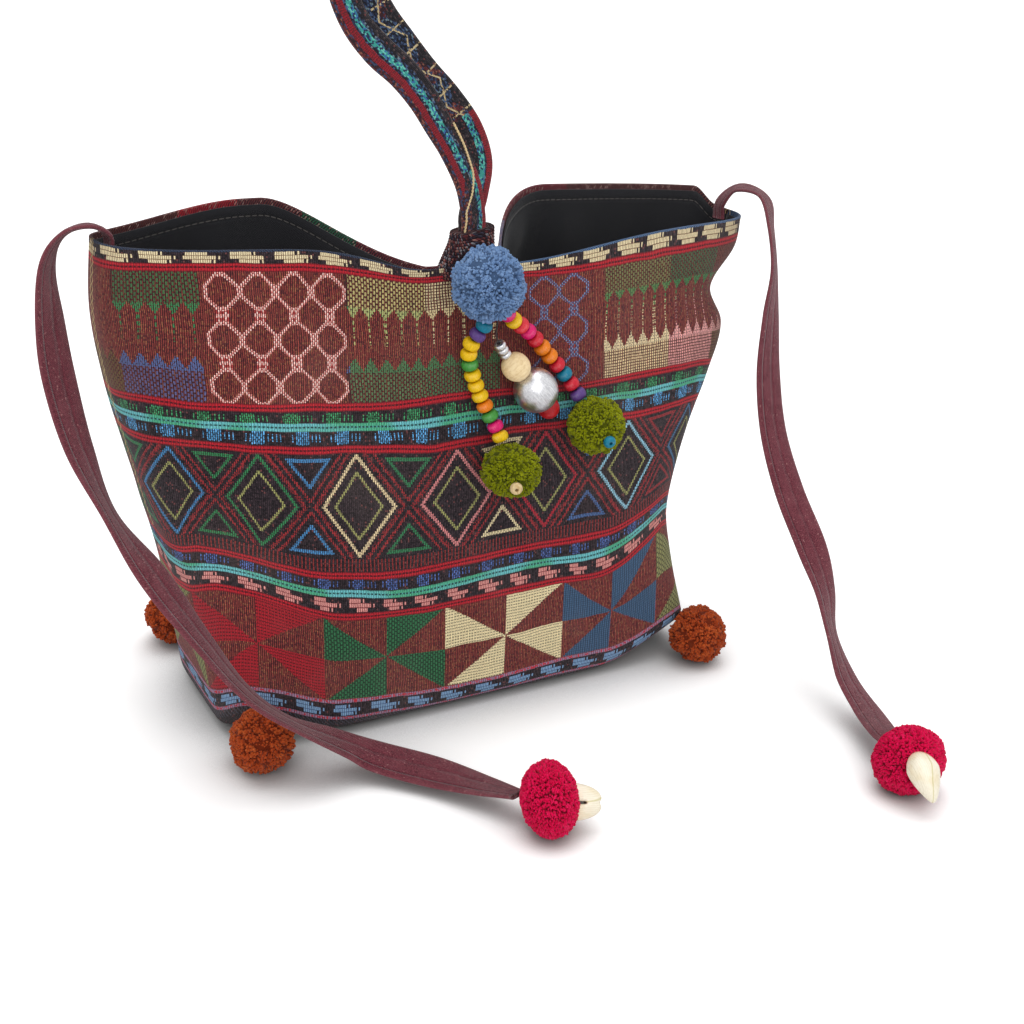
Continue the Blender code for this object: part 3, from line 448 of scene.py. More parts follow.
def corner_lift(across, out):
    """Rise of the bottom near a corner."""
    side = smoothstep((np.abs(across) - 0.55) / 0.45)
    return CORNER_LIFT * side * smoothstep((out - 0.45) / 0.55)


def section(face, height, columns):
    """Even places along a wall at one height: x, y, share of the width, length from x = 0."""
    turns = np.linspace(math.pi, 0.0, 1601)
    cosine = np.cos(turns)
    powers = squareness(face, cosine, height)
    across = np.sign(cosine) * np.abs(cosine) ** (2.0 / powers)
    across[0], across[-1] = -1.0, 1.0
    x = across * half_width(across, height)
    y = wall_y(face, across, height)
    length = np.concatenate(([0.0], np.cumsum(np.hypot(np.diff(x), np.diff(y)))))
    middle = np.interp(0.0, x, length)
    even = np.linspace(0.0, length[-1], columns + 1)
    return [np.interp(even, length, line) for line in (x, y, across)] + [even - middle]


# Heights of the woven lines up the wall, as shares, by the distance from the middle in mm
LINE_SHARES = (
    (228.1, ((-166, .965), (-129, .972), (-85, .969), (-55, .973), (-23, .983), (25, .974),
             (60, .961), (99, .952), (136, .954))),
    (166.4, ((-178, .706), (-155, .712), (-137, .698), (-111, .694), (-81, .692), (-63, .693),
             (-25, .721), (8, .720), (60, .694), (101, .681), (149, .664))),
    (147.0, ((-153, .628), (-134, .617), (-119, .611), (-94, .604), (-58, .604), (-37, .610),
             (-11, .611), (3, .614), (16, .628), (94, .589), (121, .580))),
    (88.0, ((-139, .390), (-122, .372), (-96, .344), (-60, .320), (-44, .319), (-17, .327),
            (23, .333), (58, .323), (84, .320), (117, .342))),
    (78.7, ((-152, .356), (-122, .336), (-97, .307), (-60, .278), (-44, .270), (-17, .276),
            (23, .289), (58, .274), (84, .279), (112, .309))),
    (67.8, ((-131, .300), (-106, .272), (-70, .231), (-45, .225), (0, .230), (35, .229),
            (72, .219), (98, .245), (112, .265))),
    (20.0, ((-138, .049), (-99, .042), (-75, .033), (-50, .022), (-21, .010), (13, .008),
            (49, .016), (87, .010))),
)
WALL_SPAN = 223.0
DIAMOND_PLACES = (-196.0, -148.0, -109.2, -64.0, -13.5, 34.5, 84.0, 130.0, 178.0)
PINWHEEL_PLACES = (-208.0, -145.0, -82.3, -19.6, 47.4, 106.0, 169.0)


def pattern_height(s, share):
    """Pattern's height in mm at a distance from the middle in mm and a share of the height."""
    shares, marks = [np.zeros_like(s)], []
    for mark, points in LINE_SHARES[::-1]:
        clamped = np.clip(s, points[0][0], points[-1][0])
        shares.append(np.maximum(curve_value(points, clamped), shares[-1] + 0.004))
        marks.append(mark)
    shares.append(np.maximum(shares[-1] + 0.02, 1.0))
    marks.append(236.0)
    result = marks[0] - shares[1] * WALL_SPAN + share * WALL_SPAN
    for low, high, mark_low, mark_high in zip(shares[1:], shares[2:], marks, marks[1:]):
        t = (share - low) / (high - low)
        result = np.where(t >= 0.0, mark_low + (mark_high - mark_low) * t, result)
    return result


def wrinkle(face, s, height):
    """Outward drift of the cloth in metres: soft dents and folds from the gather."""
    drift = 0.0
    for scale, size in ((0.022, 0.0009), (0.055, 0.0005)):
        drift += size * noise.noise(Vector((s * scale, height * 230.0 * scale * 0.7,
                                            3.0 if face == "front" else 9.0)))
    return drift


PANEL_COLUMNS = 260
PANEL_ROWS = 150
EDGE_FINE = 12


def wall_row(face, height, columns, below_rim=0.0):
    """Points along a wall at one height and their distances from the middle in mm."""
    x, y, across, s = section(face, height, columns)
    low = EDGE_RADIUS + corner_lift(across, np.abs(y) / depth(face, height)) * (1.0 - height)
    z = low + (rim_height(face, across) - below_rim - EDGE_RADIUS) * height
    return np.stack((x, y, z), axis=1), s * 1000.0


def panel_grid(face):
    """Outer surface of a panel as points, with its pattern places in mm."""
    points, places = [], []
    x, y, across, s = section(face, 0.0, PANEL_COLUMNS)
    s = s * 1000.0
    foot = pattern_height(s, 0.0)
    lift = corner_lift(across, np.abs(y) / BASE_HALF_DEPTH)
    for row in range(EDGE_FINE):
        turn = 0.5 * math.pi * (1.0 - row / EDGE_FINE)
        inset = EDGE_RADIUS * (1.0 - math.cos(turn))
        points.append(np.stack((x * (1.0 - inset / BASE_HALF_WIDTH),
                                y * (1.0 - inset / BASE_HALF_DEPTH),
                                EDGE_RADIUS * (1.0 - math.sin(turn)) + lift), axis=1))
        places.append(np.stack((s, foot - 1000.0 * EDGE_RADIUS * turn), axis=1))
    for row in range(PANEL_ROWS + 1):
        wall, s = wall_row(face, row / PANEL_ROWS, PANEL_COLUMNS)
        points.append(wall)
        places.append(np.stack((s, pattern_height(s, row / PANEL_ROWS)), axis=1))
    return np.array(points), np.array(places)


def grid_normals(grid, face):
    """Outward unit normals of a grid of points."""
    normals = np.cross(np.gradient(grid, axis=1), np.gradient(grid, axis=0))
    if face == "back":
        normals = -normals
    lengths = np.linalg.norm(normals, axis=2, keepdims=True)
    return normals / np.maximum(lengths, 1e-12)


def grid_faces(rows, columns, flip, closed=False):
    """Quads of a grid of points stored row by row."""
    faces = []
    for row in range(rows - 1):
        for column in range(columns if closed else columns - 1):
            after = (column + 1) % columns
            quad = (row * columns + column, row * columns + after,
                    (row + 1) * columns + after, (row + 1) * columns + column)
            faces.append(quad[::-1] if flip else quad)
    return faces


def ring_face(row, sides):
    """Face that closes a tube at one of its rings."""
    return tuple(range(row * sides, (row + 1) * sides))


def add_grid(verts, faces, grid, flip, closed=False):
    """Add a grid of points and its quads to lists of points and faces."""
    faces += [tuple(index + len(verts) for index in quad)
              for quad in grid_faces(*grid.shape[:2], flip, closed)]
    verts += grid.reshape(-1, 3).tolist()


def set_value(mesh, name, values):
    """Store a value on each point of a mesh."""
    layer = mesh.attributes.new(name, "FLOAT", "POINT")
    layer.data.foreach_set("value", np.asarray(values, np.float32))


def set_uv(mesh, name, values):
    """Give each corner of a mesh the value of its vertex."""
    layer = mesh.uv_layers.new(name=name)
    index = np.empty(len(mesh.loops), np.int32)
    mesh.loops.foreach_get("vertex_index", index)
    layer.data.foreach_set("uv", np.asarray(values, np.float32)[index].ravel())


def set_cloth_uvs(mesh, places, edge):
    """Places in the pattern, running numbers of diamonds and pinwheels, distance to the seam."""
    set_uv(mesh, "pattern", places)
    set_uv(mesh, "motif", np.stack([np.interp(places[:, 0], marks, np.arange(len(marks)))
                                    for marks in (DIAMOND_PLACES, PINWHEEL_PLACES)], axis=1))
    set_uv(mesh, "edge", edge)


LIP_STEPS = 7
HEM_STEPS = 6
HEM_PLACE = 239.5
SEAM_EASE = 12.0


def make_panel(face, material):
    """Front or back cloth with its rolled rim, the hem inside and the turned bottom edge."""
    outer, places = panel_grid(face)
    normals = grid_normals(outer, face)
    last = outer.shape[1] - 1
    for row in range(EDGE_FINE, len(outer)):
        share = (row - EDGE_FINE) / PANEL_ROWS
        ease = smoothstep(min(share * 6.0, 1.0)) * smoothstep(min((1.0 - share) * 12.0, 1.0))
        for column in range(last + 1):
            seam = smoothstep(min(column, last - column) / SEAM_EASE)
            amount = wrinkle(face, places[row, column, 0], share) * ease * seam
            outer[row, column] += normals[row, column] * amount
    rim, inward = outer[-1], -normals[-1]
    lips, lip_places = [], []
    for step in range(1, LIP_STEPS + 1):
        turn = math.pi * step / LIP_STEPS
        lips.append(rim + inward * (0.5 * CLOTH * (1.0 - math.cos(turn)))
                    + np.array((0.0, 0.0, 0.0006 * math.sin(turn))))
        lip_places.append(places[-1] + (0.0, step * 0.4))
    for step in range(1, HEM_STEPS + 1):
        lips.append(outer[-1 - 2 * step] - normals[-1 - 2 * step] * CLOTH)
        lip_places.append(np.stack((places[-1, :, 0], np.full(len(rim), HEM_PLACE + step)),
                                   axis=1))
    grid = np.concatenate((outer, np.array(lips)))
    uvs = np.concatenate((places, np.array(lip_places)))
    grid[:, (0, -1), 1] = -0.5 * CLEAR if face == "front" else 0.5 * CLEAR
    mesh = mesh_from(face + "_cloth", grid.reshape(-1, 3).tolist(),
                     grid_faces(*grid.shape[:2], face == "back"))
    s = uvs[:, :, 0]
    edge = np.stack((np.minimum(s - s[:, :1], s[:, -1:] - s), np.sign(s)), axis=2)
    set_cloth_uvs(mesh, uvs.reshape(-1, 2), edge.reshape(-1, 2))
    return new_object(face + "_cloth", mesh, material, replaces=(face + "_panel",))


def base_grid(face, shares, columns):
    """Points on the base from its middle line out to the turned edge."""
    wide = BASE_HALF_WIDTH - EDGE_RADIUS
    deep = BASE_HALF_DEPTH - EDGE_RADIUS
    x, y = section(face, 0.0, columns)[:2]
    grid = []
    for share in shares:
        middle = np.linspace(-wide, wide, columns + 1)
        edge = x * wide / BASE_HALF_WIDTH
        place = middle + (edge - middle) * share
        out = y * deep / BASE_HALF_DEPTH * share
        reach = wide * half_width(place, 0.0) / BASE_HALF_WIDTH
        grid.append(np.stack((place, out, corner_lift(place / reach, np.abs(out) / deep)), axis=1))
    return np.array(grid)


# Columns, shares from the middle line out, and pattern place of the middle line in mm
BASE_COLUMNS = 200
BASE_SHARES = np.linspace(0.0, 0.997, 40)
BASE_PLACE = 112.0


def make_base(material):
    """Bottom cloth between the turned edges of the panels."""
    verts, faces = [], []
    for face in ("front", "back"):
        add_grid(verts, faces, base_grid(face, BASE_SHARES, BASE_COLUMNS), face == "front")
    mesh = mesh_from("base_cloth", verts, faces)
    build = bmesh.new()
    build.from_mesh(mesh)
    bmesh.ops.remove_doubles(build, verts=build.verts, dist=1e-5)
    build.to_mesh(mesh)
    build.free()
    mesh.shade_smooth()
    places = np.array([vert.co for vert in mesh.vertices]) * 1000.0
    set_cloth_uvs(mesh, np.stack((places[:, 0], places[:, 1] + BASE_PLACE), axis=1),
                  np.full((len(places), 2), 60.0))
    return new_object("base_cloth", mesh, material, replaces=("base_panel",))


LINING_COLUMNS = 130
LINING_ROWS = 60
LINING_DROP = 221.0
LINING_BELOW_RIM = 0.002
LINING_SLACK = 0.0052


def make_lining(material):
    """Black lining inside the mouth, down to the base, with soft slack folds."""
    verts, faces, uvs = [], [], []
    for face, seed in (("front", 4.0), ("back", 7.0)):
        wall, drops = [], []
        for row in range(LINING_ROWS + 1):
            height = row / LINING_ROWS
            points, s = wall_row(face, height, LINING_COLUMNS, LINING_BELOW_RIM)
            wall.append(points)
            drops.append(np.stack((s, np.full(len(s), (1.0 - height) * LINING_DROP)), axis=1))
        wall, drops = np.array(wall), np.array(drops)
        normals = grid_normals(wall, face)
        for row in range(LINING_ROWS + 1):
            below = 1.0 - row / LINING_ROWS
            for column in range(LINING_COLUMNS + 1):
                slack = noise.noise(Vector((drops[row, column, 0] * 0.035, below * 2.2, seed)))
                amount = LINING_SLACK * max(slack + 0.35, 0.0) * smoothstep(below * 9.0)
                amount *= float(smoothstep(min(column, LINING_COLUMNS - column) / 14.0))
                wall[row, column] -= normals[row, column] * (CLOTH + CLEAR + 0.5 * LINING + amount)
        wall[:, (0, -1), 1] = 0.0
        foot = base_grid(face, np.linspace(0.0, 1.0, 10), LINING_COLUMNS)
        foot[:, :, 2] += CLOTH + CLEAR + LINING
        foot_places = np.stack((foot[:, :, 0] * 1000.0, np.full(foot.shape[:2], LINING_DROP)),
                               axis=2)
        add_grid(verts, faces, np.concatenate((foot, wall)), face == "front")
        uvs += np.concatenate((foot_places, drops)).reshape(-1, 2).tolist()
    mesh = mesh_from("lining_cloth", verts, faces)
    set_uv(mesh, "pattern", uvs)
    item = new_object("lining_cloth", mesh, material, replaces=("lining",))
    solid = item.modifiers.new("thickness", "SOLIDIFY")
    solid.thickness = 0.5 * LINING
    solid.offset = 0.0


# Routes, bands and the strap


def path_lengths(path):
    """Length along a path at each of its points."""
    steps = np.linalg.norm(np.diff(path[:, :3], axis=0), axis=1)
    return np.concatenate(([0.0], np.cumsum(steps)))


def read_path(path, length, places):
    """Points of a path at the given lengths along it."""
    return np.column_stack([np.interp(places, length, path[:, axis])
                            for axis in range(path.shape[1])])


def smooth_route(points, step):
    """Read a smooth curve through given points at about even steps."""
    points = np.array(points, dtype=float)
    ring = np.vstack((2.0 * points[0] - points[1], points, 2.0 * points[-1] - points[-2]))
    fine = []
    for a, b, c, d in zip(ring, ring[1:], ring[2:], ring[3:]):
        for t in np.linspace(0.0, 1.0, 24, endpoint=False):
            fine.append(0.5 * (2 * b + (c - a) * t + (2 * a - 5 * b + 4 * c - d) * t * t
                               + (3 * b - a - 3 * c + d) * t ** 3))
    fine.append(points[-1])
    fine = np.array(fine)
    length = path_lengths(fine)
    count = max(int(round(length[-1] / step)), 2)
    return read_path(fine, length, np.linspace(0.0, length[-1], count + 1))


def band_frame(path):
    """Across and facing directions along a band's path."""
    along = unit(np.gradient(path[:, :3], axis=0))
    across = unit(np.cross(along, path[:, 3:6]))
    return across, np.cross(across, along)


def make_band(name, stations, width, thickness, sides, material, step, replaces):
    """Flat band along stations with a rounded flat cross-section; returns its object and path."""
    path = smooth_route(stations, step)
    across, facing = band_frame(path)
    outline = np.array([rounded(2.0 * math.pi * side / sides, 0.6, 0.75) for side in range(sides)])
    half = 0.5 * width * path[:, 6]
    rings = (path[:, None, :3] + across[:, None, :] * outline[None, :, :1] * half[:, None, None]
             + facing[:, None, :] * outline[None, :, 1:] * 0.5 * thickness)
    rows = len(rings)
    faces = grid_faces(rows, sides, True, closed=True)
    faces += [ring_face(0, sides)[::-1], ring_face(rows - 1, sides)]
    mesh = mesh_from(name, rings.reshape(-1, 3).tolist(), faces)
    uv = np.empty((rows, sides, 2))
    uv[:, :, 0] = outline[None, :, 0]
    uv[:, :, 1] = path_lengths(path)[:, None] * 1000.0
    set_uv(mesh, "band", uv.reshape(-1, 2))
    return new_object(name, mesh, material, replaces=replaces), path


def rounded(turn, wide_power, deep_power):
    """Place on a rounded flat outline, from -1 to 1 across and in thickness."""
    return (math.copysign(abs(math.cos(turn)) ** wide_power, math.cos(turn)),
            math.copysign(abs(math.sin(turn)) ** deep_power, math.sin(turn)))


HUB_FRONT = float(wall_y("front", HUB_X / RIM_LEFT, 1.0))
HUB_TOP = float(rim_height("front", HUB_X / RIM_LEFT))
HUB_MIDDLE = HUB_FRONT + 0.5 * HUB_STACK
COLLAR_DEPTH = HUB_STACK + 2.0 * (CLEAR + 0.0012 + 0.0022)
STRAP_WIDTH = 0.0122
STRAP_THICKNESS = 0.0024
STRAP_FOOT = 0.0038
STRAP_MOUTH = 0.0173
STRAP_LEAN = 0.0024
STRAP_RISE = (
    (0.000, 0.0234, 0.0, 1.0), (-0.0024, 0.0376, -0.0006, 1.0), (-0.0097, 0.0527, -0.0012, 1.0),
    (-0.0167, 0.0635, -0.0012, 1.05), (-0.0246, 0.0752, -0.0010, 1.1),
    (-0.0336, 0.0855, 0.0000, 1.15), (-0.0443, 0.0945, 0.0015, 1.15),
    (-0.0540, 0.1060, 0.0030, 1.05), (-0.0600, 0.1210, 0.0045, 1.0),
    (-0.0630, 0.1400, 0.0060, 1.0),
)
STRAP_TURN = (
    (-0.0610, 0.1570, 0.0085, (-0.2, -0.9, 0.5)), (-0.0585, 0.1670, 0.0120, (-0.1, -0.6, 1.0)),
    (-0.0545, 0.1700, 0.0165, (0.05, 0.1, 1.0)), (-0.0500, 0.1650, 0.0210, (0.2, 0.8, 0.6)),
    (-0.0470, 0.1560, 0.0235, (0.25, 0.95, 0.1)),
)
STRAP_FALL = (
    (-0.0450, 0.1450, 0.0240, 1.0), (-0.0420, 0.1270, 0.0230, 1.0),
    (-0.0335, 0.1090, 0.0210, 1.0), (-0.0240, 0.0960, 0.0180, 1.0),
    (-0.0145, 0.0840, 0.0150, 1.0), (-0.0045, 0.0730, 0.0120, 1.0),
    (0.0045, 0.0600, 0.0085, 1.0), (0.0078, 0.0460, 0.0045, 1.0), (0.0040, 0.0330, 0.0014, 1.0),
    (0.0000, 0.0225, 0.0000, 1.0),
)
PIPING = ((10.0, -0.80), (22.0, -0.62), (30.0, 0.10), (38.0, 0.62), (50.0, 0.86), (62.0, 0.98))
PIPING_RADIUS = 0.00062
STRAP_FACES = {"rise": (-0.25, -0.95, 0.15), "fall": (0.25, 0.95, -0.15)}


def strap_station(x, z, y, share, lie, stretch, turned):
    """Station of the strap: place, facing and share of the width."""
    free = STRAP_FACES[stretch]
    square = (0.0, math.copysign(1.0, free[1]), 0.0)
    facing = [a + (b - a) * turned for a, b in zip(square, free)]
    lean = STRAP_LEAN * math.exp(-((z - STRAP_MOUTH) / 0.022) ** 2)
    return (HUB_X + x + lean, HUB_MIDDLE + lie + y, HUB_TOP + z, *facing, share)


def strap_stations():
    """Stations of the whole strap from one end in the collar to the other."""
    lie = 0.5 * (STRAP_THICKNESS + CLEAR)
    ends = [(0.0, STRAP_FOOT, 0.0, 1.0), (0.0, STRAP_MOUTH, 0.0, 1.0)]
    stations = [strap_station(*place, -lie, "rise", 0.0) for place in ends]
    stations += [strap_station(*place, -lie, "rise", min(index / 3.0, 1.0))
                 for index, place in enumerate(STRAP_RISE)]
    stations += [(HUB_X + x, HUB_MIDDLE + y, HUB_TOP + z, *facing, 1.0)
                 for x, z, y, facing in STRAP_TURN]
    back = [strap_station(*place, lie, "fall", min(index / 3.0, 1.0))
            for index, place in enumerate(reversed(STRAP_FALL))]
    return (stations + back[::-1]
            + [strap_station(*place, lie, "fall", 0.0) for place in reversed(ends)])


def make_strap(material, trim):
    """Folded woven strap and the piping sewn along it above the collar."""
    path = make_band("strap_webbing", strap_stations(), STRAP_WIDTH, STRAP_THICKNESS, 28, material,
                     0.0014, ("shoulder_strap",))[1]
    length = path_lengths(path) * 1000.0
    places = np.linspace(PIPING[0][0], PIPING[-1][0], 60)
    share = np.interp(places, *zip(*PIPING))[:, None]
    spot, across, facing = (read_path(rows, length, places)
                            for rows in (path[:, :3], *band_frame(path)))
    route = spot + share * 0.5 * STRAP_WIDTH * across + 0.47 * STRAP_THICKNESS * facing
    make_thread("strap_piping", route, PIPING_RADIUS, trim, "root", ())


# Reach below and above the rim, lean, half width and depth at foot and top, pitch of the wrap
COLLAR_DROP = 0.004
COLLAR_HEIGHT = 0.017
COLLAR_LEAN = 0.0026
COLLAR_FOOT = (0.014, COLLAR_DEPTH)
COLLAR_TOP = (0.0104, 0.0112)
COLLAR_RIB = 0.0013


def make_collar(material):
    """Yarn wrapped round the gathered rims and the strap's ends."""
    rows, sides = 74, 72
    span = COLLAR_DROP + COLLAR_HEIGHT
    verts, uvs = [], []
    for row in range(rows):
        share = row / (rows - 1.0)
        ease = float(smoothstep(share))
        rib = 1.0 - 0.028 * (0.5 + 0.5 * math.cos(2.0 * math.pi * (share * span / COLLAR_RIB)))
        wide, deep = (foot + (top - foot) * ease for foot, top in zip(COLLAR_FOOT, COLLAR_TOP))
        wide, deep = rib * wide, rib * 0.5 * deep
        for side in range(sides):
            turn = 2.0 * math.pi * side / sides
            across, out = rounded(turn, 0.6, 0.6)
            verts.append((HUB_X + wide * across + COLLAR_LEAN * ease, HUB_MIDDLE + deep * out,
                          HUB_TOP + span * share - COLLAR_DROP + 0.0006 * math.sin(turn + 0.6)
                          + 0.0012 * across * ease))
            uvs.append((side / sides, share * span * 1000.0))
    faces = grid_faces(rows, sides, False, closed=True) + [ring_face(rows - 1, sides)]
    mesh = mesh_from("collar_wrap", verts, faces)
    set_uv(mesh, "band", uvs)
    new_object("collar_wrap", mesh, material, replaces=("collar",))


# Pompoms

# Rings of a strand of yarn: share of the reach, width, bend and depth of shade
STRAND_LEVELS = ((0.76, 0.9, 0.0, 1.0), (0.92, 1.15, 0.45, 0.42), (0.99, 0.95, 0.9, 0.08),
                 (1.015, 0.45, 1.0, 0.0))


# Lowest place of yarn that lies on the floor
FLOOR_CLEAR = 0.0004
# Radius of the soft core as a share of the ball's
CORE_SHARE = 0.88


def sphere_places(count):
    """Evenly spread directions."""
    index = np.arange(count)
    height = 1.0 - 2.0 * (index + 0.5) / count
    ring = np.sqrt(1.0 - height * height)
    turn = math.pi * (3.0 - math.sqrt(5.0)) * index
    return np.stack((ring * np.cos(turn), ring * np.sin(turn), height), axis=1)


def make_pompom(name, centre, radius, material, body, replaces, seed, flat=1.0, way=(0, 0, 1),
                count=2600, level=True, uneven=0.05, girth=0.034, curl=0.10, swell=1.0,
                tufts=90, gather=0.3):
    """Ball of cut yarn: a soft core and many rounded ends gathered into small tufts."""
    dice = np.random.default_rng(seed)
    axis = np.array(Vector(way).normalized())
    out = unit(sphere_places(count) + dice.normal(0.0, 0.03, (count, 3)))
    heads = unit(sphere_places(tufts) + dice.normal(0.0, 0.09, (tufts, 3)))
    nearest = np.argmax(out @ heads.T, axis=1)
    to_head = heads[nearest] - out
    off = np.linalg.norm(to_head, axis=1)
    head_lift = dice.normal(0.0, 0.5, tufts)[nearest]
    head_tone = dice.normal(0.0, 0.10, tufts)[nearest]
    swirl = np.array([tuple(noise.noise_vector(Vector(tuple(o * 5.0))
                                               + Vector((0.0, seed * 2.3, 0.0)))) for o in out])
    spread_share = off / max(float(off.max()), 1e-6)
    reach = radius * (1.0 + uneven * (0.5 * head_lift + dice.uniform(-0.35, 0.35, count))
                      - 0.9 * uneven * spread_share ** 2 - 0.4 * uneven)
    lean = swirl * 0.9 + dice.normal(0.0, 0.45, out.shape)
    lean -= out * np.sum(lean * out, axis=1, keepdims=True)
    side = unit(np.cross(out, dice.normal(0.0, 1.0, out.shape)))
    other = np.cross(out, side)
    thick = radius * girth * dice.uniform(0.8, 1.35, count)
    tone = np.clip(0.52 + head_tone + dice.normal(0.0, 0.12, count), 0.0, 1.0)
    rings, deeps = [], []
    for share, width, bend, deep in STRAND_LEVELS:
        middle = (out * (reach * share)[:, None] + lean * radius * curl * bend
                  + to_head * radius * gather * bend)
        for corner in range(3):
            angle = 2.0 * math.pi * corner / 3.0
            spread = side * math.cos(angle) + other * math.sin(angle)
            rings.append(middle + spread * (thick * width)[:, None])
            # Painted shade deepens in the gaps between the tufts, less towards the tips
            deeps.append(np.clip(deep + 0.55 * spread_share ** 2 * (1.0 - 0.6 * bend), 0.0, 1.0))
    verts = np.stack(rings, axis=1).reshape(-1, 3)
    per = len(rings)
    index = np.arange(count)[:, None] * per
    pattern = np.array(grid_faces(len(STRAND_LEVELS), 3, False, closed=True))
    faces = (index[:, :, None] + pattern[None]).reshape(-1, 4).tolist()
    faces += (index + np.array((per - 3, per - 2, per - 1))[None]).tolist()
    build = bmesh.new()
    bmesh.ops.create_icosphere(build, subdivisions=4, radius=radius * CORE_SHARE)
    core = np.array([vert.co for vert in build.verts])
    faces += [[vert.index + len(verts) for vert in face.verts] for face in build.faces]
    build.free()
    lumps = np.array([noise.noise(Vector(tuple(c / radius * 9.0)) + Vector((seed, 0.0, 0.0)))
                      for c in core])
    core *= (1.0 + 0.04 * lumps)[:, None]
    verts = np.concatenate((verts, core)) * swell
    verts += (verts @ axis)[:, None] * axis * (flat - 1.0)
    verts += np.array(centre)
    if level:
        low = verts[:, 2] < FLOOR_CLEAR
        verts[low, 2] = FLOOR_CLEAR + 0.02 * (FLOOR_CLEAR - verts[low, 2])
    mesh = mesh_from(name, verts.tolist(), faces)
    set_value(mesh, "tone", np.concatenate((np.repeat(tone, per), 0.5 + 0.4 * lumps)))
    # Depth of painted shade: from the rings of each yarn end, and full on the core
    set_value(mesh, "deep", np.concatenate((np.stack(deeps, axis=1).ravel(), np.ones(len(core)))))
    return new_object(name, mesh, material, body, replaces)


# Beads


def lathe(name, profile, start, end, segments, material, body, node):
    """Turned closed piece bored along the line from start to end; profile is radius, height."""
    start, end = Vector(start), Vector(end)
    turn = (start - end).normalized().to_track_quat("Z", "Y").to_matrix().to_4x4()
    angles = [2.0 * math.pi * side / segments for side in range(segments)]
    verts = [(radius * math.cos(angle), radius * math.sin(angle), height)
             for radius, height in profile for angle in angles]
    faces = grid_faces(len(profile), segments, True, closed=True)
    last = (len(profile) - 1) * segments
    for side in range(segments):
        after = (side + 1) % segments
        faces.append((side, after, last + after, last + side))
    mesh = mesh_from(name, verts, faces)
    mesh.set_sharp_from_angle(angle=math.radians(50.0))
    item = new_object(name, mesh, material, body, (node,))
    item.matrix_world = Matrix.Translation(0.5 * (start + end)) @ turn


def bead_profile(radius, length, hole, roundness, points=18, lip=0.0003):
    """Outline of a bored bead with softly broken bore edges."""
    half = 0.5 * length
    outline = [(hole, half * 0.93), (hole + lip, half * 0.975)]
    for turn in np.linspace(0.5 * math.pi, -0.5 * math.pi, points + 2)[1:-1]:
        out = hole + (radius - hole) * abs(math.cos(turn)) ** roundness
        outline.append((out, half * math.sin(turn)))
    outline += [(hole + lip, -half * 0.975), (hole, -half * 0.93)]
    return outline


BLUE_CENTRE = Vector((HUB_X - 0.0006, HUB_MIDDLE - 0.5 * COLLAR_DEPTH - CLEAR - BLUE_RADIUS,
                      HUB_TOP - 0.0025))
TUFT = 0.0007
RING_RADIUS = 0.0029
RING_LENGTH = 0.0030
WOOD_BALL_RADIUS = 0.0067
SILVER_BALL_RADIUS = 0.0105
RED_BALL_RADIUS = 0.0053
END_BEAD_RADIUS = 0.0030
END_BEAD_LENGTH = 0.0036
BEAD_HOLE = 0.0009
THREAD_RADIUS = 0.0005
LEFT_STRAND = {
    "exit": (0.0012, 0.0030),
    "route": ((-0.0006, -0.0226, 0.0132), (-0.0040, -0.0290, 0.0098), (-0.0036, -0.0378, 0.0065),
              (0.0024, -0.0550, 0.0052), (0.0115, -0.0750, 0.0085)),
    "end": (0.0141, -0.0898),
}
MIDDLE_STRAND = {
    "exit": (0.0050, 0.0000),
    "route": ((0.0072, -0.0270, 0.0140), (0.0178, -0.0412, 0.0098), (0.0290, -0.0535, 0.0146)),
    "end": (0.0386, -0.0650),
}
RIGHT_STRAND = {
    "exit": (0.0105, 0.0040),
    "route": ((0.0150, -0.0185, 0.0125), (0.0256, -0.0258, 0.0080), (0.0358, -0.0362, 0.0056),
              (0.0482, -0.0503, 0.0052), (0.0562, -0.0630, 0.0082)),
    "end": (0.0606, -0.0742),
}
LEFT_BEADS = ("teal", "purple", "yellow", "yellow", "green", "yellow", "yellow", "yellow",
              "orange", "green", "magenta", "yellow")
RIGHT_BEADS = ("magenta", "yellow", "coral", "magenta", "red", "orange", "orange", "red",
               "teal", "red", "purple")


def front_face(x, z):
    """Place of the front wall along Y at a width and a height."""
    share = min(max(x / (RIM_RIGHT if x > 0 else RIM_LEFT), -1.0), 1.0)
    height = (z - EDGE_RADIUS) / (float(rim_height("front", share)) - EDGE_RADIUS)
    height = min(max(height, 0.0), 1.0)
    across = min(abs(x) / float(half_width(np.array(x), height)), 1.0)
    return float(wall_y("front", across, height))


def strand_path(strand, end_radius):
    """Smooth path of a strand from its exit to the middle of its last piece."""
    across, inward = strand["exit"]
    drop = math.sqrt(BLUE_RADIUS ** 2 - across ** 2 - inward ** 2) + CLEAR
    points = [BLUE_CENTRE + Vector((across, inward, -drop))]
    for x, z, off in list(strand["route"]) + [(*strand["end"], end_radius + CLEAR + TUFT)]:
        wide, height = BLUE_CENTRE.x + x, BLUE_CENTRE.z + z
        points.append(Vector((wide, front_face(wide, height) - off, height)))
    return smooth_route(points, 0.0005)


THREAD_STEP = 0.0006
THREAD_LAY = 0.003


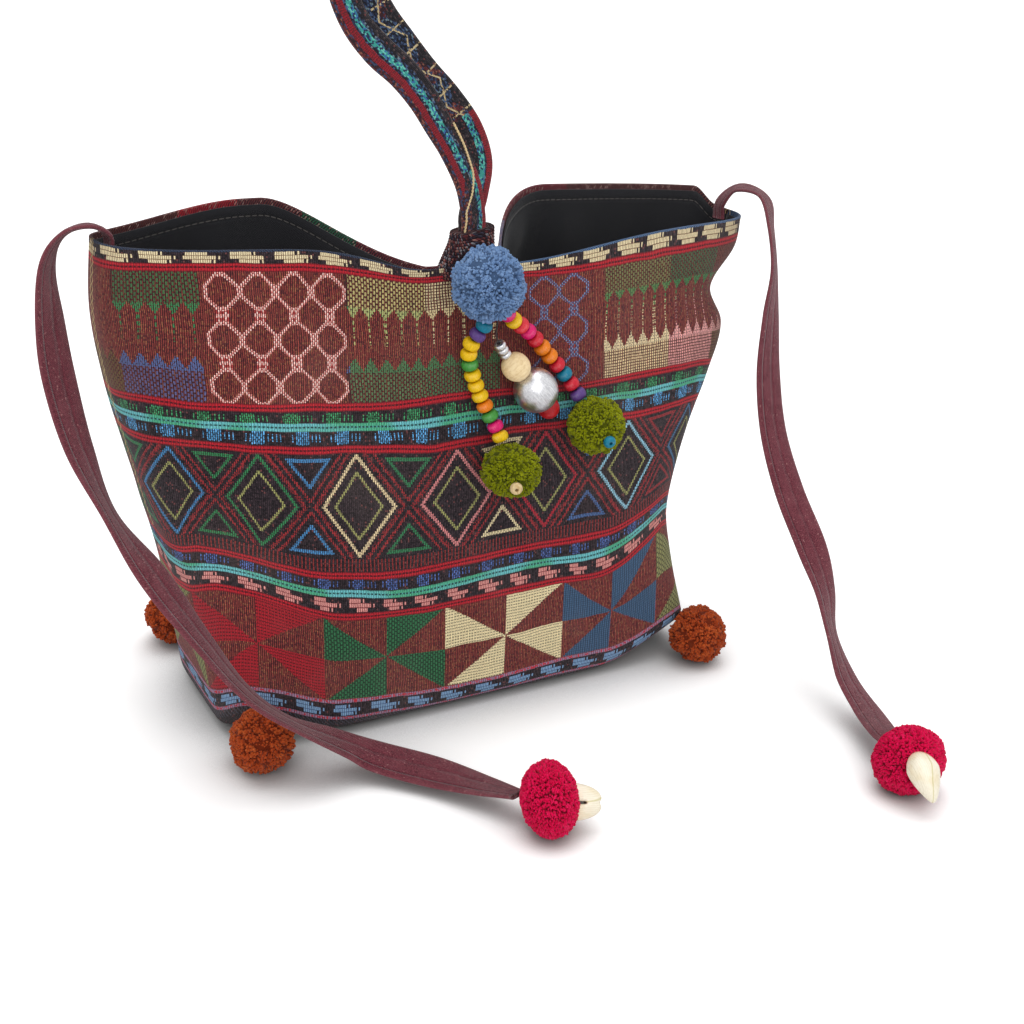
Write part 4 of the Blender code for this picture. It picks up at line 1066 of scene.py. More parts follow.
def make_thread(name, path, radius, material, body, replaces):
    """Two-ply waxed thread along a path."""
    length = path_lengths(path)
    fine = read_path(path, length, np.linspace(0.0, length[-1],
                                               int(length[-1] / THREAD_STEP) + 2))
    along = unit(np.gradient(fine, axis=0))
    side = unit(np.cross(along, (0.0, 1.0, 0.0)))
    other = np.cross(along, side)
    twist = np.linspace(0.0, length[-1] * 2.0 * math.pi / THREAD_LAY, len(fine))
    verts, faces = [], []
    for ply in (0.0, math.pi):
        middle = fine + 0.45 * radius * (side * np.cos(twist + ply)[:, None]
                                         + other * np.sin(twist + ply)[:, None])
        corners = [middle + 0.55 * radius * (side * math.cos(angle) + other * math.sin(angle))
                   for angle in (math.pi * corner / 3.0 for corner in range(6))]
        add_grid(verts, faces, np.stack(corners, axis=1), False, closed=True)
    new_object(name, mesh_from(name, verts, faces), material, body, replaces)


def make_bead_strand(side, strand, colours, bead_length, end_paint, end_turn, seed, flat, paints):
    """Strand of wooden beads that ends in a green pompom with a small bead at its tip."""
    body = side + "_strand"
    path = strand_path(strand, GREEN_RADIUS)
    length = path_lengths(path)
    total = length[-1] - GREEN_RADIUS - CLEAR
    spread = (total - len(colours) * bead_length) / (len(colours) + 1.0)
    place = spread
    for number, paint in enumerate(colours, start=1):
        first, last = read_path(path, length, [place, place + bead_length])
        name = "%s_bead_%02d_%s" % (side, number, paint)
        radius = BEAD_RADIUS * RANDOM.uniform(0.965, 1.015)
        lathe("turned_" + name, bead_profile(radius, bead_length, BEAD_HOLE, 0.55), first, last,
              32, paints[paint], body, name)
        place += bead_length + spread
    make_thread(side + "_cord", read_path(path, length, np.linspace(0.0, total, 200)),
                THREAD_RADIUS, paints["thread"], body, (side + "_thread",))
    centre = Vector(path[-1])
    name = "green_pompom_" + side
    make_pompom("yarn_" + name, centre, GREEN_RADIUS, paints["yarn_green"], body, (name,), seed,
                level=False, uneven=0.10, swell=1.08, girth=0.042, tufts=110, gather=0.32,
                flat=flat, way=(0.15, 0.1, 1.0))
    way = Vector(end_turn).normalized()
    near = centre + way * (GREEN_RADIUS + CLEAR)
    name = side + "_end_bead"
    lathe("turned_" + name, bead_profile(END_BEAD_RADIUS, END_BEAD_LENGTH, BEAD_HOLE, 0.6), near,
          near + way * END_BEAD_LENGTH, 28, paints[end_paint], body, name)


def make_middle_strand(paints):
    """Strand of three silver rings, a wooden ball, a silver ball and a red ball."""
    path = strand_path(MIDDLE_STRAND, RED_BALL_RADIUS)
    pieces = [("ring_%d" % number, "silver", RING_RADIUS, RING_LENGTH, 0.5)
              for number in (1, 2, 3)]
    pieces += [(name, name, radius, 2.0 * radius, 0.95)
               for name, radius in (("wood_ball", WOOD_BALL_RADIUS),
                                    ("silver_ball", SILVER_BALL_RADIUS),
                                    ("red_ball", RED_BALL_RADIUS))]
    spans = sum(piece[3] for piece in pieces) + (len(pieces) - 1) * CLEAR
    place = path_lengths(path)[-1] + RED_BALL_RADIUS - spans
    way = (path[-1] - path[-2]) / np.linalg.norm(path[-1] - path[-2])
    path = np.vstack((path, path[-1] + way * 0.012))
    length = path_lengths(path)
    for name, paint, radius, span, roundness in pieces:
        first, last = read_path(path, length, [place, place + span])
        lathe("turned_middle_" + name, bead_profile(radius, span, BEAD_HOLE, roundness, 28), first,
              last, 48, paints[paint], "middle_strand", "middle_" + name)
        place += span + CLEAR
    end = float(place - CLEAR - 0.0006)
    make_thread("middle_cord", read_path(path, length, np.linspace(0.0, end, 160)), THREAD_RADIUS,
                paints["thread"], "middle_strand", ("middle_thread",))


# Ties and shells
TIE_LEFT = (
    (-0.1576, 0.000, 0.229, -1.0, 0.0, 0.0, 0.5),
    (-0.1575, -0.001, 0.2385, -0.8, -0.1, -0.6, 0.55),
    (-0.1655, -0.002, 0.2430, 0.1, -0.1, -1.0, 0.6),
    (-0.177, -0.004, 0.240, 0.45, -0.4, -0.8, 0.75),
    (-0.185, -0.009, 0.228, 0.8, -0.6, -0.1, 0.9),
    (-0.187, -0.0155, 0.207, 0.65, -0.75, 0.2, 1.0),
    (-0.1865, -0.0215, 0.184, 0.5, -0.8, 0.25, 1.0),
    (-0.1825, -0.0315, 0.155, 0.6, -0.65, 0.4, 1.0),
    (-0.175, -0.0455, 0.129, 0.8, -0.3, 0.55, 1.0),
    (-0.162, -0.0615, 0.1045, 0.5, -0.6, 0.65, 1.0),
    (-0.148, -0.076, 0.080, 0.65, -0.45, 0.6, 1.0),
    (-0.131, -0.087, 0.0535, 0.75, -0.2, 0.65, 1.0),
    (-0.112, -0.0925, 0.036, 0.6, 0.0, 0.8, 1.0),
    (-0.087, -0.090, 0.018, 0.5, -0.3, 0.8, 1.0),
    (-0.072, -0.0965, 0.0105, 0.05, -0.4, 0.9, 1.0),
    (-0.053, -0.115, 0.0083, -0.2, -0.2, 0.95, 1.0),
    (-0.0375, -0.1375, 0.0095, -0.05, 0.05, 1.0, 0.85),
    (-0.0307, -0.1546, 0.0138, 0.0, 0.15, 1.0, 0.5),
)
TIE_RIGHT = (
    (0.1643, -0.0005, 0.226, -1.0, 0.0, 0.1, 0.5),
    (0.1648, -0.0005, 0.2345, -0.9, 0.15, 0.4, 0.55),
    (0.170, -0.0075, 0.243, -0.35, 0.15, 0.95, 0.6),
    (0.174, -0.0245, 0.241, 0.4, -0.4, 0.8, 0.7),
    (0.172, -0.035, 0.228, 0.7, -0.65, 0.35, 0.8),
    (0.1705, -0.0435, 0.208, 0.7, -0.7, 0.15, 0.95),
    (0.168, -0.048, 0.185, 0.45, -0.9, 0.1, 1.0),
    (0.1675, -0.052, 0.155, 0.2, -0.95, 0.2, 1.0),
    (0.1685, -0.0605, 0.125, 0.1, -0.9, 0.4, 1.0),
    (0.169, -0.078, 0.0985, -0.05, -0.75, 0.65, 1.0),
    (0.170, -0.099, 0.0755, -0.1, -0.75, 0.65, 1.0),
    (0.1695, -0.114, 0.057, 0.3, -0.8, 0.5, 1.0),
    (0.167, -0.126, 0.0385, 0.6, -0.7, 0.4, 1.0),
    (0.1665, -0.142, 0.0205, 0.35, -0.5, 0.75, 1.0),
    (0.1645, -0.1625, 0.012, 0.2, -0.15, 0.95, 1.0),
    (0.156, -0.1845, 0.013, 0.1, 0.0, 1.0, 0.85),
    (0.1515, -0.197, 0.015, 0.1, 0.0, 1.0, 0.6),
)
CRIMSON_LEFT = ((-0.0218, -0.1670, 0.0168), (0.87, -0.45, 0.2))
CRIMSON_RIGHT = ((0.1467, -0.2099, 0.0165), (-0.35, -0.93, 0.0))
SHELL_LEFT = ((-0.0120, -0.1720, 0.0155), (0.89, -0.45, 0.0), (-0.42, -0.75, 0.5))
SHELL_RIGHT = ((0.1400, -0.2269, 0.0190), (-0.125, -0.754, -0.644), (0.08, 0.486, -0.585))
SHELL_LENGTH = 0.024
SHELL_WIDTH = 0.0175
SHELL_HEIGHT = 0.0125

SHELL_FORMS = {"left": (0.94, 0.72, 0.0, 0.05), "right": (0.84, 1.0, 0.34, 0.0)}


def make_shell(side, place, material):
    """Cowrie: a domed back, a flattened mouth with a toothed slit and fine lengthwise lines."""
    centre, length, under = (Vector(part) for part in place)
    length.normalize()
    back = (-under + under.dot(length) * length).normalized()
    turn = Matrix((back.cross(length), back, length)).transposed().to_4x4()
    rows, sides = 96, 120
    slim, blunt, point, notch = SHELL_FORMS[side]
    verts, uvs, mouth = [], [], []
    for row in range(rows + 1):
        tilt = math.pi * (row + 0.001) / (rows + 0.002)
        along, ring = math.cos(tilt), math.sin(tilt)
        for corner in range(sides):
            angle = 2.0 * math.pi * corner / sides
            x, y = ring * math.cos(angle), ring * math.sin(angle)
            taper = slim * (1.0 - (0.10 + point) * max(along, -0.3))
            taper *= (max(ring, 1e-4) ** (blunt - 1.0)) if along > 0.0 else 1.0
            px = x * taper * 0.5 * SHELL_WIDTH
            py = (y if y > 0 else 0.55 * y) * taper * 0.62 * SHELL_HEIGHT
            pz = along * 0.5 * SHELL_LENGTH
            if along > 0.3:
                pz -= notch * SHELL_LENGTH * math.exp(-(x / 0.10) ** 2) * (along - 0.3)
                py += 0.0006 * math.exp(-((abs(x) - 0.35) / 0.3) ** 2) * notch * 5.0
            if y < 0:
                reach = smoothstep((0.45 - abs(along - 0.05)) / 0.2)
                gap = abs(x) / (0.085 + 0.03 * along)
                teeth = 0.5 + 0.5 * math.cos(2.0 * math.pi * along * 9.0)
                ridge = math.exp(-((abs(x) - 0.26) / 0.16) ** 2) * reach
                py += 0.0024 * (math.exp(-gap * gap) * reach) + 0.00035 * ridge * (teeth - 0.6)
            verts.append((px, py, pz))
            uvs.append((x, along))
            # Share of painted shade along the slit, read by the material
            mouth.append(math.exp(-(x / 0.09) ** 2) * (py < 0)
                         * float(smoothstep((0.42 - abs(along - 0.1)) / 0.15)))
    faces = grid_faces(rows + 1, sides, True, closed=True)
    faces += [ring_face(0, sides), ring_face(rows, sides)[::-1]]
    mesh = mesh_from("shell_" + side, verts, faces)
    set_uv(mesh, "shell", uvs)
    set_value(mesh, "mouth", mouth)
    item = new_object("shell_" + side, mesh, material, "root", ("cowrie_shell_" + side,))
    item.matrix_world = Matrix.Translation(centre) @ turn
    return item


def make_ties(paints):
    """Both ties with the crimson pompom and the cowrie at each end."""
    for side, stations, (centre, way), place, seed in (
            ("left", TIE_LEFT, CRIMSON_LEFT, SHELL_LEFT, 5),
            ("right", TIE_RIGHT, CRIMSON_RIGHT, SHELL_RIGHT, 6)):
        band, path = make_band("tie_band_" + side, stations, TIE_WIDTH * 1.10, TIE_THICKNESS, 26,
                               paints["tie"], 0.002, ("tie_" + side,))
        shell = make_shell(side, place, paints["shell"])
        pompom = make_pompom("yarn_crimson_" + side, centre, CRIMSON_RADIUS,
                             paints["yarn_crimson"], "root", ("crimson_pompom_" + side,), seed,
                             flat=CRIMSON_FLAT, way=way, count=3400, girth=0.043, curl=0.07,
                             tufts=330, gather=0.14)


def make_corner_pompoms(paints):
    """Rust pompom at each corner of the base."""
    for corner, side, way, wider, deeper, seed in (
            ("front_left", -1.0, -1.0, -0.010, 0.010, 1),
            ("front_right", 1.0, -1.0, 0.0025, 0.0055, 2),
            ("back_left", -1.0, 1.0, -0.0100, 0.0140, 3),
            ("back_right", 1.0, 1.0, -0.001, 0.007, 4)):
        node = "rust_pompom_" + corner
        make_pompom("yarn_" + node, (side * (BASE_HALF_WIDTH + wider),
                                     way * (BASE_HALF_DEPTH + deeper), RUST_RADIUS),
                    RUST_RADIUS, paints["yarn_rust"], "root", (node,), seed, uneven=0.13,
                    girth=0.050, tufts=85, gather=0.22)


# Cloth


def both(*masks):
    """1 where every mask is 1."""
    result = masks[0]
    for mask in masks[1:]:
        result = result * mask
    return result


def cells(value, size):
    """Number of the cell a value lies in and its place in the cell from 0 to 1."""
    scaled = value / size
    return scaled.floor(), scaled.fract()


def near_lines(value, centres):
    """Distance to the nearest of several lines."""
    result = None
    for centre in centres:
        away = abs(value - centre)
        result = away if result is None else result.min(away)
    return result


def white(first, second):
    """Random value from 0 to 1 for a pair of numbers."""
    joined = Value(add_node(first.tree, "CombineXYZ", ((0, first), (1, second))).outputs[0])
    node = add_node(first.tree, "TexWhiteNoise", noise_dimensions="2D")
    put(node.inputs["Vector"], joined)
    return Value(node.outputs["Value"])


def table(value, low, high, rows):
    """Colour that steps at given places; rows are place, colour."""
    stops = [(min(max((place - low) / (high - low), 0.0), 1.0), colour) for place, colour in rows]
    return ramp((value - low) / (high - low), stops, constant=True)


def numbered(value, colours):
    """Colour that steps with a running number."""
    return table(value, 0.0, len(colours), enumerate(colours))


# Heights and places of the pattern in mm, with colours of 0-255 channels
RED_LINES = (228.1, 166.4, 147.0, 88.0, 67.8)
AQUA_LINES = (157.4, 78.7)
LILAC_LINES = (20.0, 10.8)
SIDE = 400.0
WALL_ENDS = (-200.0, 200.0)
TOP_BLOCKS = ((-SIDE, (70, 36, 36)), (-168.0, (70, 112, 72)), (-130.0, (70, 36, 36)),
              (-67.0, (204, 190, 126)), (-28.5, (240, 218, 172)), (9.0, (70, 36, 36)),
              (67.0, (128, 134, 84)), (108.0, (66, 112, 74)), (144.0, (126, 70, 58)))
LOW_BLOCKS = ((-SIDE, (112, 92, 52)), (-168.0, (98, 98, 144)), (-130.0, (70, 36, 36)),
              (-67.0, (96, 128, 88)), (-28.5, (76, 122, 82)), (9.0, (60, 80, 110)),
              (25.0, (70, 36, 36)), (67.0, (250, 222, 172)), (108.0, (255, 180, 174)),
              (144.0, (120, 96, 60)))
DIAMOND_COLOURS = ((54, 134, 84), (76, 142, 196), (54, 134, 84), (248, 224, 176), (232, 146, 146),
                   (190, 44, 60), (158, 210, 232), (76, 126, 168), (54, 134, 84))
WEDGE_COLOURS = ((54, 134, 84), (54, 134, 84), (76, 142, 196), (54, 130, 86), (240, 222, 176),
                 (80, 112, 166), (164, 48, 54), (54, 130, 86), (76, 142, 196))
WHEEL_COLOURS = ((160, 160, 96), (176, 34, 46), (54, 124, 80), (250, 232, 184), (72, 106, 142),
                 (164, 164, 104), (176, 34, 46))
BACK_RIM = ((-SIDE, (96, 48, 44)), (-150.0, (176, 34, 46)), (-122.0, (104, 50, 52)),
            (-92.0, (44, 96, 70)), (-64.0, (112, 44, 52)), (0.0, (122, 120, 150)),
            (46.0, (128, 46, 56)), (110.0, (96, 50, 50)))


# Width of a rib, height of a stitch and width of a coarse rib
RIB_PITCH = 0.92
STITCH_PITCH = 0.85
COARSE_PITCH = 1.38
# Low, high, period, offset and colour of the ticks
TICKS = ((158.8, 164.0, 19.2, 4.0, (56, 146, 92)), (149.4, 155.6, 19.2, 0.0, (84, 160, 214)),
         (81.0, 86.4, 17.0, 3.0, (74, 102, 168)))


# Low, high, period, share, further share in the middle, and both colours of the blocks
BLOCKS = ((230.0, 235.9, 19.0, 0.50, 0.28, (250, 234, 190), (128, 100, 76)),
          (69.9, 76.2, 17.0, 0.34, 0.34, (240, 166, 158), (118, 40, 48)),
          (12.2, 18.2, 19.0, 0.40, 0.30, (140, 178, 214), (62, 84, 124)))
TOP_TIPS = ((-200.0, (52, 138, 86)), (-67.0, (166, 186, 118)), (-28.5, (236, 214, 160)),
            (9.0, (60, 146, 84)))
LOW_TIPS = ((-200.0, (82, 108, 160)), (-67.0, (70, 126, 82)), (9.0, (240, 222, 180)),
            (108.0, (244, 176, 172)))


def cloth_material(name, face):
    """Woven pattern: bands of lines, combs, rings, diamonds and pinwheels in coloured threads."""
    look = Look(name, 0.9, Specular_IOR_Level=0.22, Sheen_Weight=0.10, Sheen_Roughness=0.45)
    s, v, vector = look.uv("pattern")
    diamond, wheel, _ = look.uv("motif")
    drift = noise_value(vector, 0.055, 1.0)
    shake = noise_value(vector, 0.5, 1.0)
    s = s + (drift - 0.5) * 2.2 + (shake - 0.5) * 0.45
    v = v + (drift - 0.5) * 1.5 + (shake - 0.5) * 0.45

    # Threads: ribs up the wall, each a row of small stitches
    column, warp = cells(s, RIB_PITCH)
    row, weft = cells(v, STITCH_PITCH)
    middle_s = column * RIB_PITCH + 0.5 * RIB_PITCH
    snapped_v = row * STITCH_PITCH + 0.5 * STITCH_PITCH
    speck = white(column, row)
    half = column.odd()
    rib = 1.0 - abs(warp - 0.5).smooth(0.18, 0.40)
    length = (v / 2.05 + half).fract()
    dash = rib * (1.0 - abs(length - 0.45).smooth(0.36, 0.46))
    coarse, place = cells(s, COARSE_PITCH)
    coarse_speck = white(coarse, (v / 2.5).floor() + 90.0)
    coarse_rib = 1.0 - abs(place - 0.5).smooth(0.20, 0.40)
    loop = (v / 2.5 + coarse.odd()).fract()
    chain = coarse_rib * (1.0 - abs(loop - 0.42).smooth(0.26, 0.40))

    # Grounds
    look.colour = mix(speck * 0.5 + white(column, 3.0) * 0.5, (118, 46, 46), (158, 72, 62))
    look.lay((speck > 0.80) * 0.35, (160, 118, 76))
    look.lay((speck < 0.14) * 0.5, (62, 32, 42))
    look.lay((1.0 - rib) * 0.9, (42, 16, 24))
    look.lay(both(column.odd() < 0.25, rib) * 0.28, (70, 32, 36))
    brown = look.colour
    look.colour = mix(speck * 0.8, (24, 18, 24), (70, 56, 62))
    look.lay((speck > 0.95) * 0.6, (126, 70, 68))
    look.lay((1.0 - rib) * 0.5, (18, 14, 18))
    is_black = v.between(89.0, 147.0).max(v.between(148.0, 165.4)).max(v.between(69.0, 87.0))
    is_black = is_black.max(v > 229.9).max(v < 19.5)
    look.colour = mix(is_black, brown, look.colour)

    # Combs
    in_combs = v.between(168.2, 226.4)
    comb_place = ((middle_s + 168.0) / 7.75).fract()
    tooth = abs(comb_place - 0.5) * 2.0
    drop = (abs(comb_place - 0.5) < 0.07) * ((v / 3.1).fract() < 0.6)
    above = (v - tooth * 5.6 > 207.4).max(drop * (v > 194.0))
    below = (v + tooth * 6.4 < 189.5).max(drop * (v < 204.0) * (s > 60.0))
    combs = ((s > -168.0) * (s < -130.0)).max((s > -67.0) * (s < 9.0)).max((s > 67.0))
    grid = coarse_rib * ((v / 1.5).fract() < 0.68)
    for mask, blocks, fine in (
            (both(combs, above), TOP_BLOCKS, both(s > -28.5, s < 9.0)),
            (both(combs.max(s < -168.0), below), LOW_BLOCKS, s > 67.0)):
        paint = table(s, *WALL_ENDS, blocks)
        faded = coarse_speck * 0.6
        paint = mix(faded, paint, mix(0.55, paint, (40, 30, 30)))
        thread = fine.blend(chain, grid)
        covered = mix(0.5, brown, (34, 20, 24))
        mask = both(in_combs, mask)
        look.lay(mask, mix(thread, covered, paint))
    tips = both(in_combs, combs, above, v < 212.4, v > 200.0, dash)
    tip_paint = table(s, *WALL_ENDS, TOP_TIPS)
    look.lay(tips * 0.8, tip_paint)
    tips = both(in_combs, combs, below, v > 182.5, v < 190.0, dash)
    tip_paint = table(s, *WALL_ENDS, LOW_TIPS)
    look.lay(tips * 0.85, tip_paint)

    # Rings
    ringed = both(in_combs, ((s > -128.1) * (s < -66.6)).max((s > 25.4) * (s < 58.2)))
    is_blue = s > 0.0
    pink_x = (((middle_s + 128.1) / 15.4).fract() - 0.5) * 15.4
    blue_x = (((middle_s - 25.4) / 16.4).fract() - 0.5) * 15.4
    ring_x = abs(is_blue.blend(pink_x, blue_x))
    ring_y = abs((((v - 165.4) / 20.9).fract() - 0.5) * 20.9)
    ring = (ring_x / 7.6).max(ring_y / 8.2).max((ring_x + ring_y) / 10.0)
    joint = both(ring_x < 2.5, ring_y > 8.0)
    on_ring = ring.between(0.80, 1.02)
    joint_dash = both(abs(ring_x - 1.4) < 0.75, dash)
    joint_bar = both(joint, ring_y > 9.7, rib)
    red_part = both(ringed, on_ring.max(joint)) * (0.85 - is_blue * 0.45)
    look.lay(red_part, mix(rib, (84, 22, 30), (176, 58, 58)))
    ring_paint = mix(is_blue, mix(length > 0.42, (240, 160, 150), (255, 214, 204)),
                     mix(length > 0.42, (64, 90, 140), (126, 148, 186)))
    lit = both(on_ring, dash).max(joint * joint_dash).max(joint_bar * 0.8)
    look.lay(both(ringed, lit), ring_paint)

    # Ticks and small blocks
    for low, high, period, offset, paint in TICKS:
        place = ((middle_s + offset) / period).fract()
        tall = both(place > 0.2, place < 0.52).blend(0.55, 1.0)
        reach = both(place > 0.06, place < 0.86) * tall * (0.5 * (high - low))
        sparse = (column.odd() < 0.25).max(both(place > 0.2, place < 0.5))
        tick = both(abs(v - 0.5 * (low + high)) < reach, dash, sparse)
        look.lay(tick, mix(speck, tuple(0.62 * c for c in paint),
                           tuple(min(1.15 * c + 8.0, 255) for c in paint)))
    for low, high, period, first, more, paint, other in BLOCKS:
        third = (high - low) / 3.0
        level = ((v - low) / third).floor()
        is_middle = abs(level - 1.0) < 0.5
        shift = is_middle.blend((level - 1.0) * 0.09, 0.10)
        place = (middle_s / period + shift).fract()
        reach = is_middle.blend(first, first + more) + (half - 0.25) * 0.26
        block = both(v.between(low, high), place < reach)
        seam = ((v - low) / third).fract().between(0.10, 0.92)
        thread = (0.25 + 0.75 * rib) * seam
        look.lay(block, mix(thread, other, mix(speck * 0.3, paint, other)))

    # Diamonds
    in_diamonds = v.between(96.2, 145.2)
    number = (diamond + 0.5).floor()
    x = (((diamond + 0.5).from_middle() * 52.0).floor() + 0.5) * (48.0 / 52.0)
    y = abs(v - 120.7)
    outer = x / 18.2 + y / 24.3
    inner = x / 11.4 + y / 15.4
    between_x = 24.0 - x
    cross = abs(between_x * 1.335 - y)
    line = 0.3 + 0.7 * dash
    look.lay(both(in_diamonds, abs(cross - 2.6) < 1.0, dash.max(speck > 0.7)), (156, 48, 52))
    look.lay(both(in_diamonds, abs(outer - 1.14) < 0.04, dash, speck > 0.3), (138, 42, 48))
    reach = (y - 8.0) * 0.77
    wedge = both(in_diamonds, between_x < reach, y < 22.6)
    hollow = both(between_x + 1.7 < reach, y < 20.9)
    wedge_paint = numbered(diamond, WEDGE_COLOURS)
    look.lay(both(wedge, 1.0 - hollow, line), wedge_paint)
    paint = numbered(number + 0.5, DIAMOND_COLOURS)
    look.lay(both(in_diamonds, abs(outer - 0.955) < 0.05, line), paint)
    look.lay(both(in_diamonds, abs(inner - 1.0) < 0.062, line), (168, 168, 104))
    look.lay(both(v.between(90.2, 96.0), column.odd() < 0.25, 0.2 + 0.8 * dash), (140, 48, 48))

    # Pinwheels
    in_wheels = v.between(21.3, 66.2)
    p = (wheel.fract() - 0.5) * 2.0
    q = (snapped_v - 43.6) / 23.2
    same = p * q > 0.0
    steep = abs(q) > abs(p)
    arm = both(in_wheels, same.blend(1.0 - steep, steep))
    block = wheel.floor()
    rows_of = 1.0 - both((v / 1.6).from_middle() < 0.20, (s / 1.5 + row * 0.5).fract() < 0.66)
    is_rows = (abs(block - 1.0) < 0.5).max(abs(block - 3.0) < 0.5)
    checks = (0.15 + 0.85 * coarse_rib) * (1.0 - (v / 1.3).from_middle().smooth(0.3, 0.45) * 0.6)
    thread = is_rows.blend((abs(block - 4.0) < 0.5).blend(chain, checks), rows_of)
    wheel_paint = numbered(block + 0.5, WHEEL_COLOURS)
    gap_paint = mix(0.78, wheel_paint, (24, 18, 24))
    lit = mix(speck * 0.3, wheel_paint, gap_paint)
    look.lay(arm, mix(thread, gap_paint, lit))

    # Woven lines: two threads with a thin stitched gap between them
    fine = (s / 1.25).fract()
    near = near_lines(v, RED_LINES)
    red = mix(abs(fine - 0.4).smooth(0.25, 0.5) * 0.7, (194, 36, 48), (104, 16, 30))
    mask = 1.0 - near.smooth(1.6, 2.2)
    look.lay(mask, mix(near.smooth(1.0, 1.9), red, (104, 22, 34)))
    mask = (1.0 - near.smooth(0.25, 0.62)) * 0.9
    look.lay(mask, mix((s / 1.84).fract() < 0.5, (128, 20, 36), (44, 14, 24)))
    near = near_lines(v, AQUA_LINES)
    water = mix(noise_value(vector, 0.045, 0.0).smooth(0.42, 0.58), (116, 200, 206),
                (84, 182, 140))
    water = mix(abs(fine - 0.4).smooth(0.25, 0.5) * 0.7, water, (36, 92, 100))
    look.lay(1.0 - near.smooth(1.5, 2.1), water)
    mask = (1.0 - near.smooth(0.25, 0.6)) * 0.9
    look.lay(mask, mix((s / 1.84).fract() < 0.5, (80, 150, 150), (20, 32, 38)))
    near = near_lines(v, LILAC_LINES)
    lilac = mix(abs(fine - 0.4).smooth(0.2, 0.5), (164, 132, 160), (110, 52, 76))
    look.lay(1.0 - near.smooth(0.7, 1.1), lilac)
    look.lay(both(near < 0.8, speck > 0.7), (190, 48, 64))
    whip = both(v.between(5.5, 10.0), ((s + v * 0.6) / 2.1).fract() < 0.34)
    look.lay(whip * 0.4, (92, 96, 112))

    # Overcast rim and the folded hem inside
    wrap = ((s + v * 0.9) / 1.25).fract()
    if face == "back":
        zone = table(s, *WALL_ENDS, BACK_RIM)
        overcast = mix(wrap > 0.55, zone, (44, 30, 38))
        overcast = mix(both(speck > 0.8, wrap < 0.5) * 0.5, overcast, (190, 150, 140))
    else:
        overcast = mix(wrap > 0.45, (30, 28, 44), (90, 124, 166))
        overcast = mix((s < -10.0) * 0.72, overcast, (32, 26, 34))
    look.lay(v > (235.4 if face == "back" else 235.7), overcast)

    # Crossed stitches along the side seam
    from_seam = look.uv("edge")[0]
    zig = (v / 4.2).from_middle() * 3.4
    sewn = both(from_seam < 3.0, abs(from_seam - zig - 0.5) < 0.5, v > 90.0)
    look.lay(sewn * 0.85, (206, 180, 124))

    # Wear, painted light and shade on each thread, and relief
    crown = rib * (1.0 - abs(weft - 0.5) * 0.9)
    # Painted light and shade: each thread lighter on its crown and darker at its edges, with a
    # little random tone from the speck
    look.lay(1.0, grey(crown * 0.34 + 0.80 + speck * 0.08), "MULTIPLY")
    look.lay(noise_value(vector, 0.02, 3.0).smooth(0.45, 0.8) * 0.06, (190, 170, 160))
    return look.done(0.94 - crown * 0.12, crown + shake * 0.4, 0.00032, 0.9)


def lining_material():
    """Black cotton twill with a pale topstitch under the rim."""
    look = Look("lining_twill", 0.85, Specular_IOR_Level=0.25, Sheen_Weight=0.25)
    s, v, vector = look.uv("pattern")
    twill = ((s + v) / 0.8).fract()
    cloud = noise_value(vector, 0.06, 3.0)
    look.colour = mix(twill * 0.6 + cloud * 0.3, (10, 10, 13), (34, 34, 40))
    look.lay(both(v.between(4.6, 5.1), (s / 3.2).fract() < 0.72) * 0.8, (112, 108, 104))
    groove = abs(v - 5.4).smooth(0.0, 1.6)
    return look.done(None, twill * 0.3 + cloud + groove * 1.2, 0.0004, 0.8)


def tie_material():
    """Maroon cotton twill, folded, with an edge seam, a crease with painted shade along it and a
    soft nap.
    """
    look = Look("tie_cotton", 0.9, Specular_IOR_Level=0.2, Sheen_Weight=0.25, Sheen_Roughness=0.4)
    across, along, _ = look.uv("band")
    place = look.place()
    weave = ((across * 8.25 + along) / 1.05).from_middle() * 2.0
    nap = noise_value(place, 1700.0, 2.0)
    cloud = noise_value(place, 160.0, 3.0)
    look.colour = mix(nap.smooth(0.3, 0.7), (80, 31, 42), (132, 64, 74))
    look.lay(cloud.smooth(0.4, 0.7) * 0.3, (140, 80, 88))
    look.lay(weave.smooth(0.4, 1.0) * 0.45, (66, 24, 36))
    look.lay(noise_value(place, 900.0, 0.0).smooth(0.74, 0.80) * 0.45, (190, 142, 138))
    seam = abs(across - 0.62)
    crease = abs(across + 0.15 + (cloud - 0.5) * 0.2)
    look.lay(both(seam < 0.03, (along / 2.4).fract() < 0.7) * 0.6, (58, 22, 34))
    # Painted shade along the crease
    look.lay((1.0 - crease.smooth(0.0, 0.10)) * 0.3, (62, 24, 34))
    look.lay(abs(across).smooth(0.84, 1.0) * 0.35, (136, 78, 86))
    return look.done(0.97 - nap * 0.12, weave * -0.4 + nap * 0.7 + seam.smooth(0.0, 0.09) * 1.4
                     + crease.smooth(0.0, 0.2), 0.0005, 0.9)


def striped(x, ground, stripes):
    """Colour of a ground with stripes over it; stripes are low, high, colour."""
    for low, high, paint in stripes:
        ground = mix(x.between(low, high), ground, paint)
    return ground


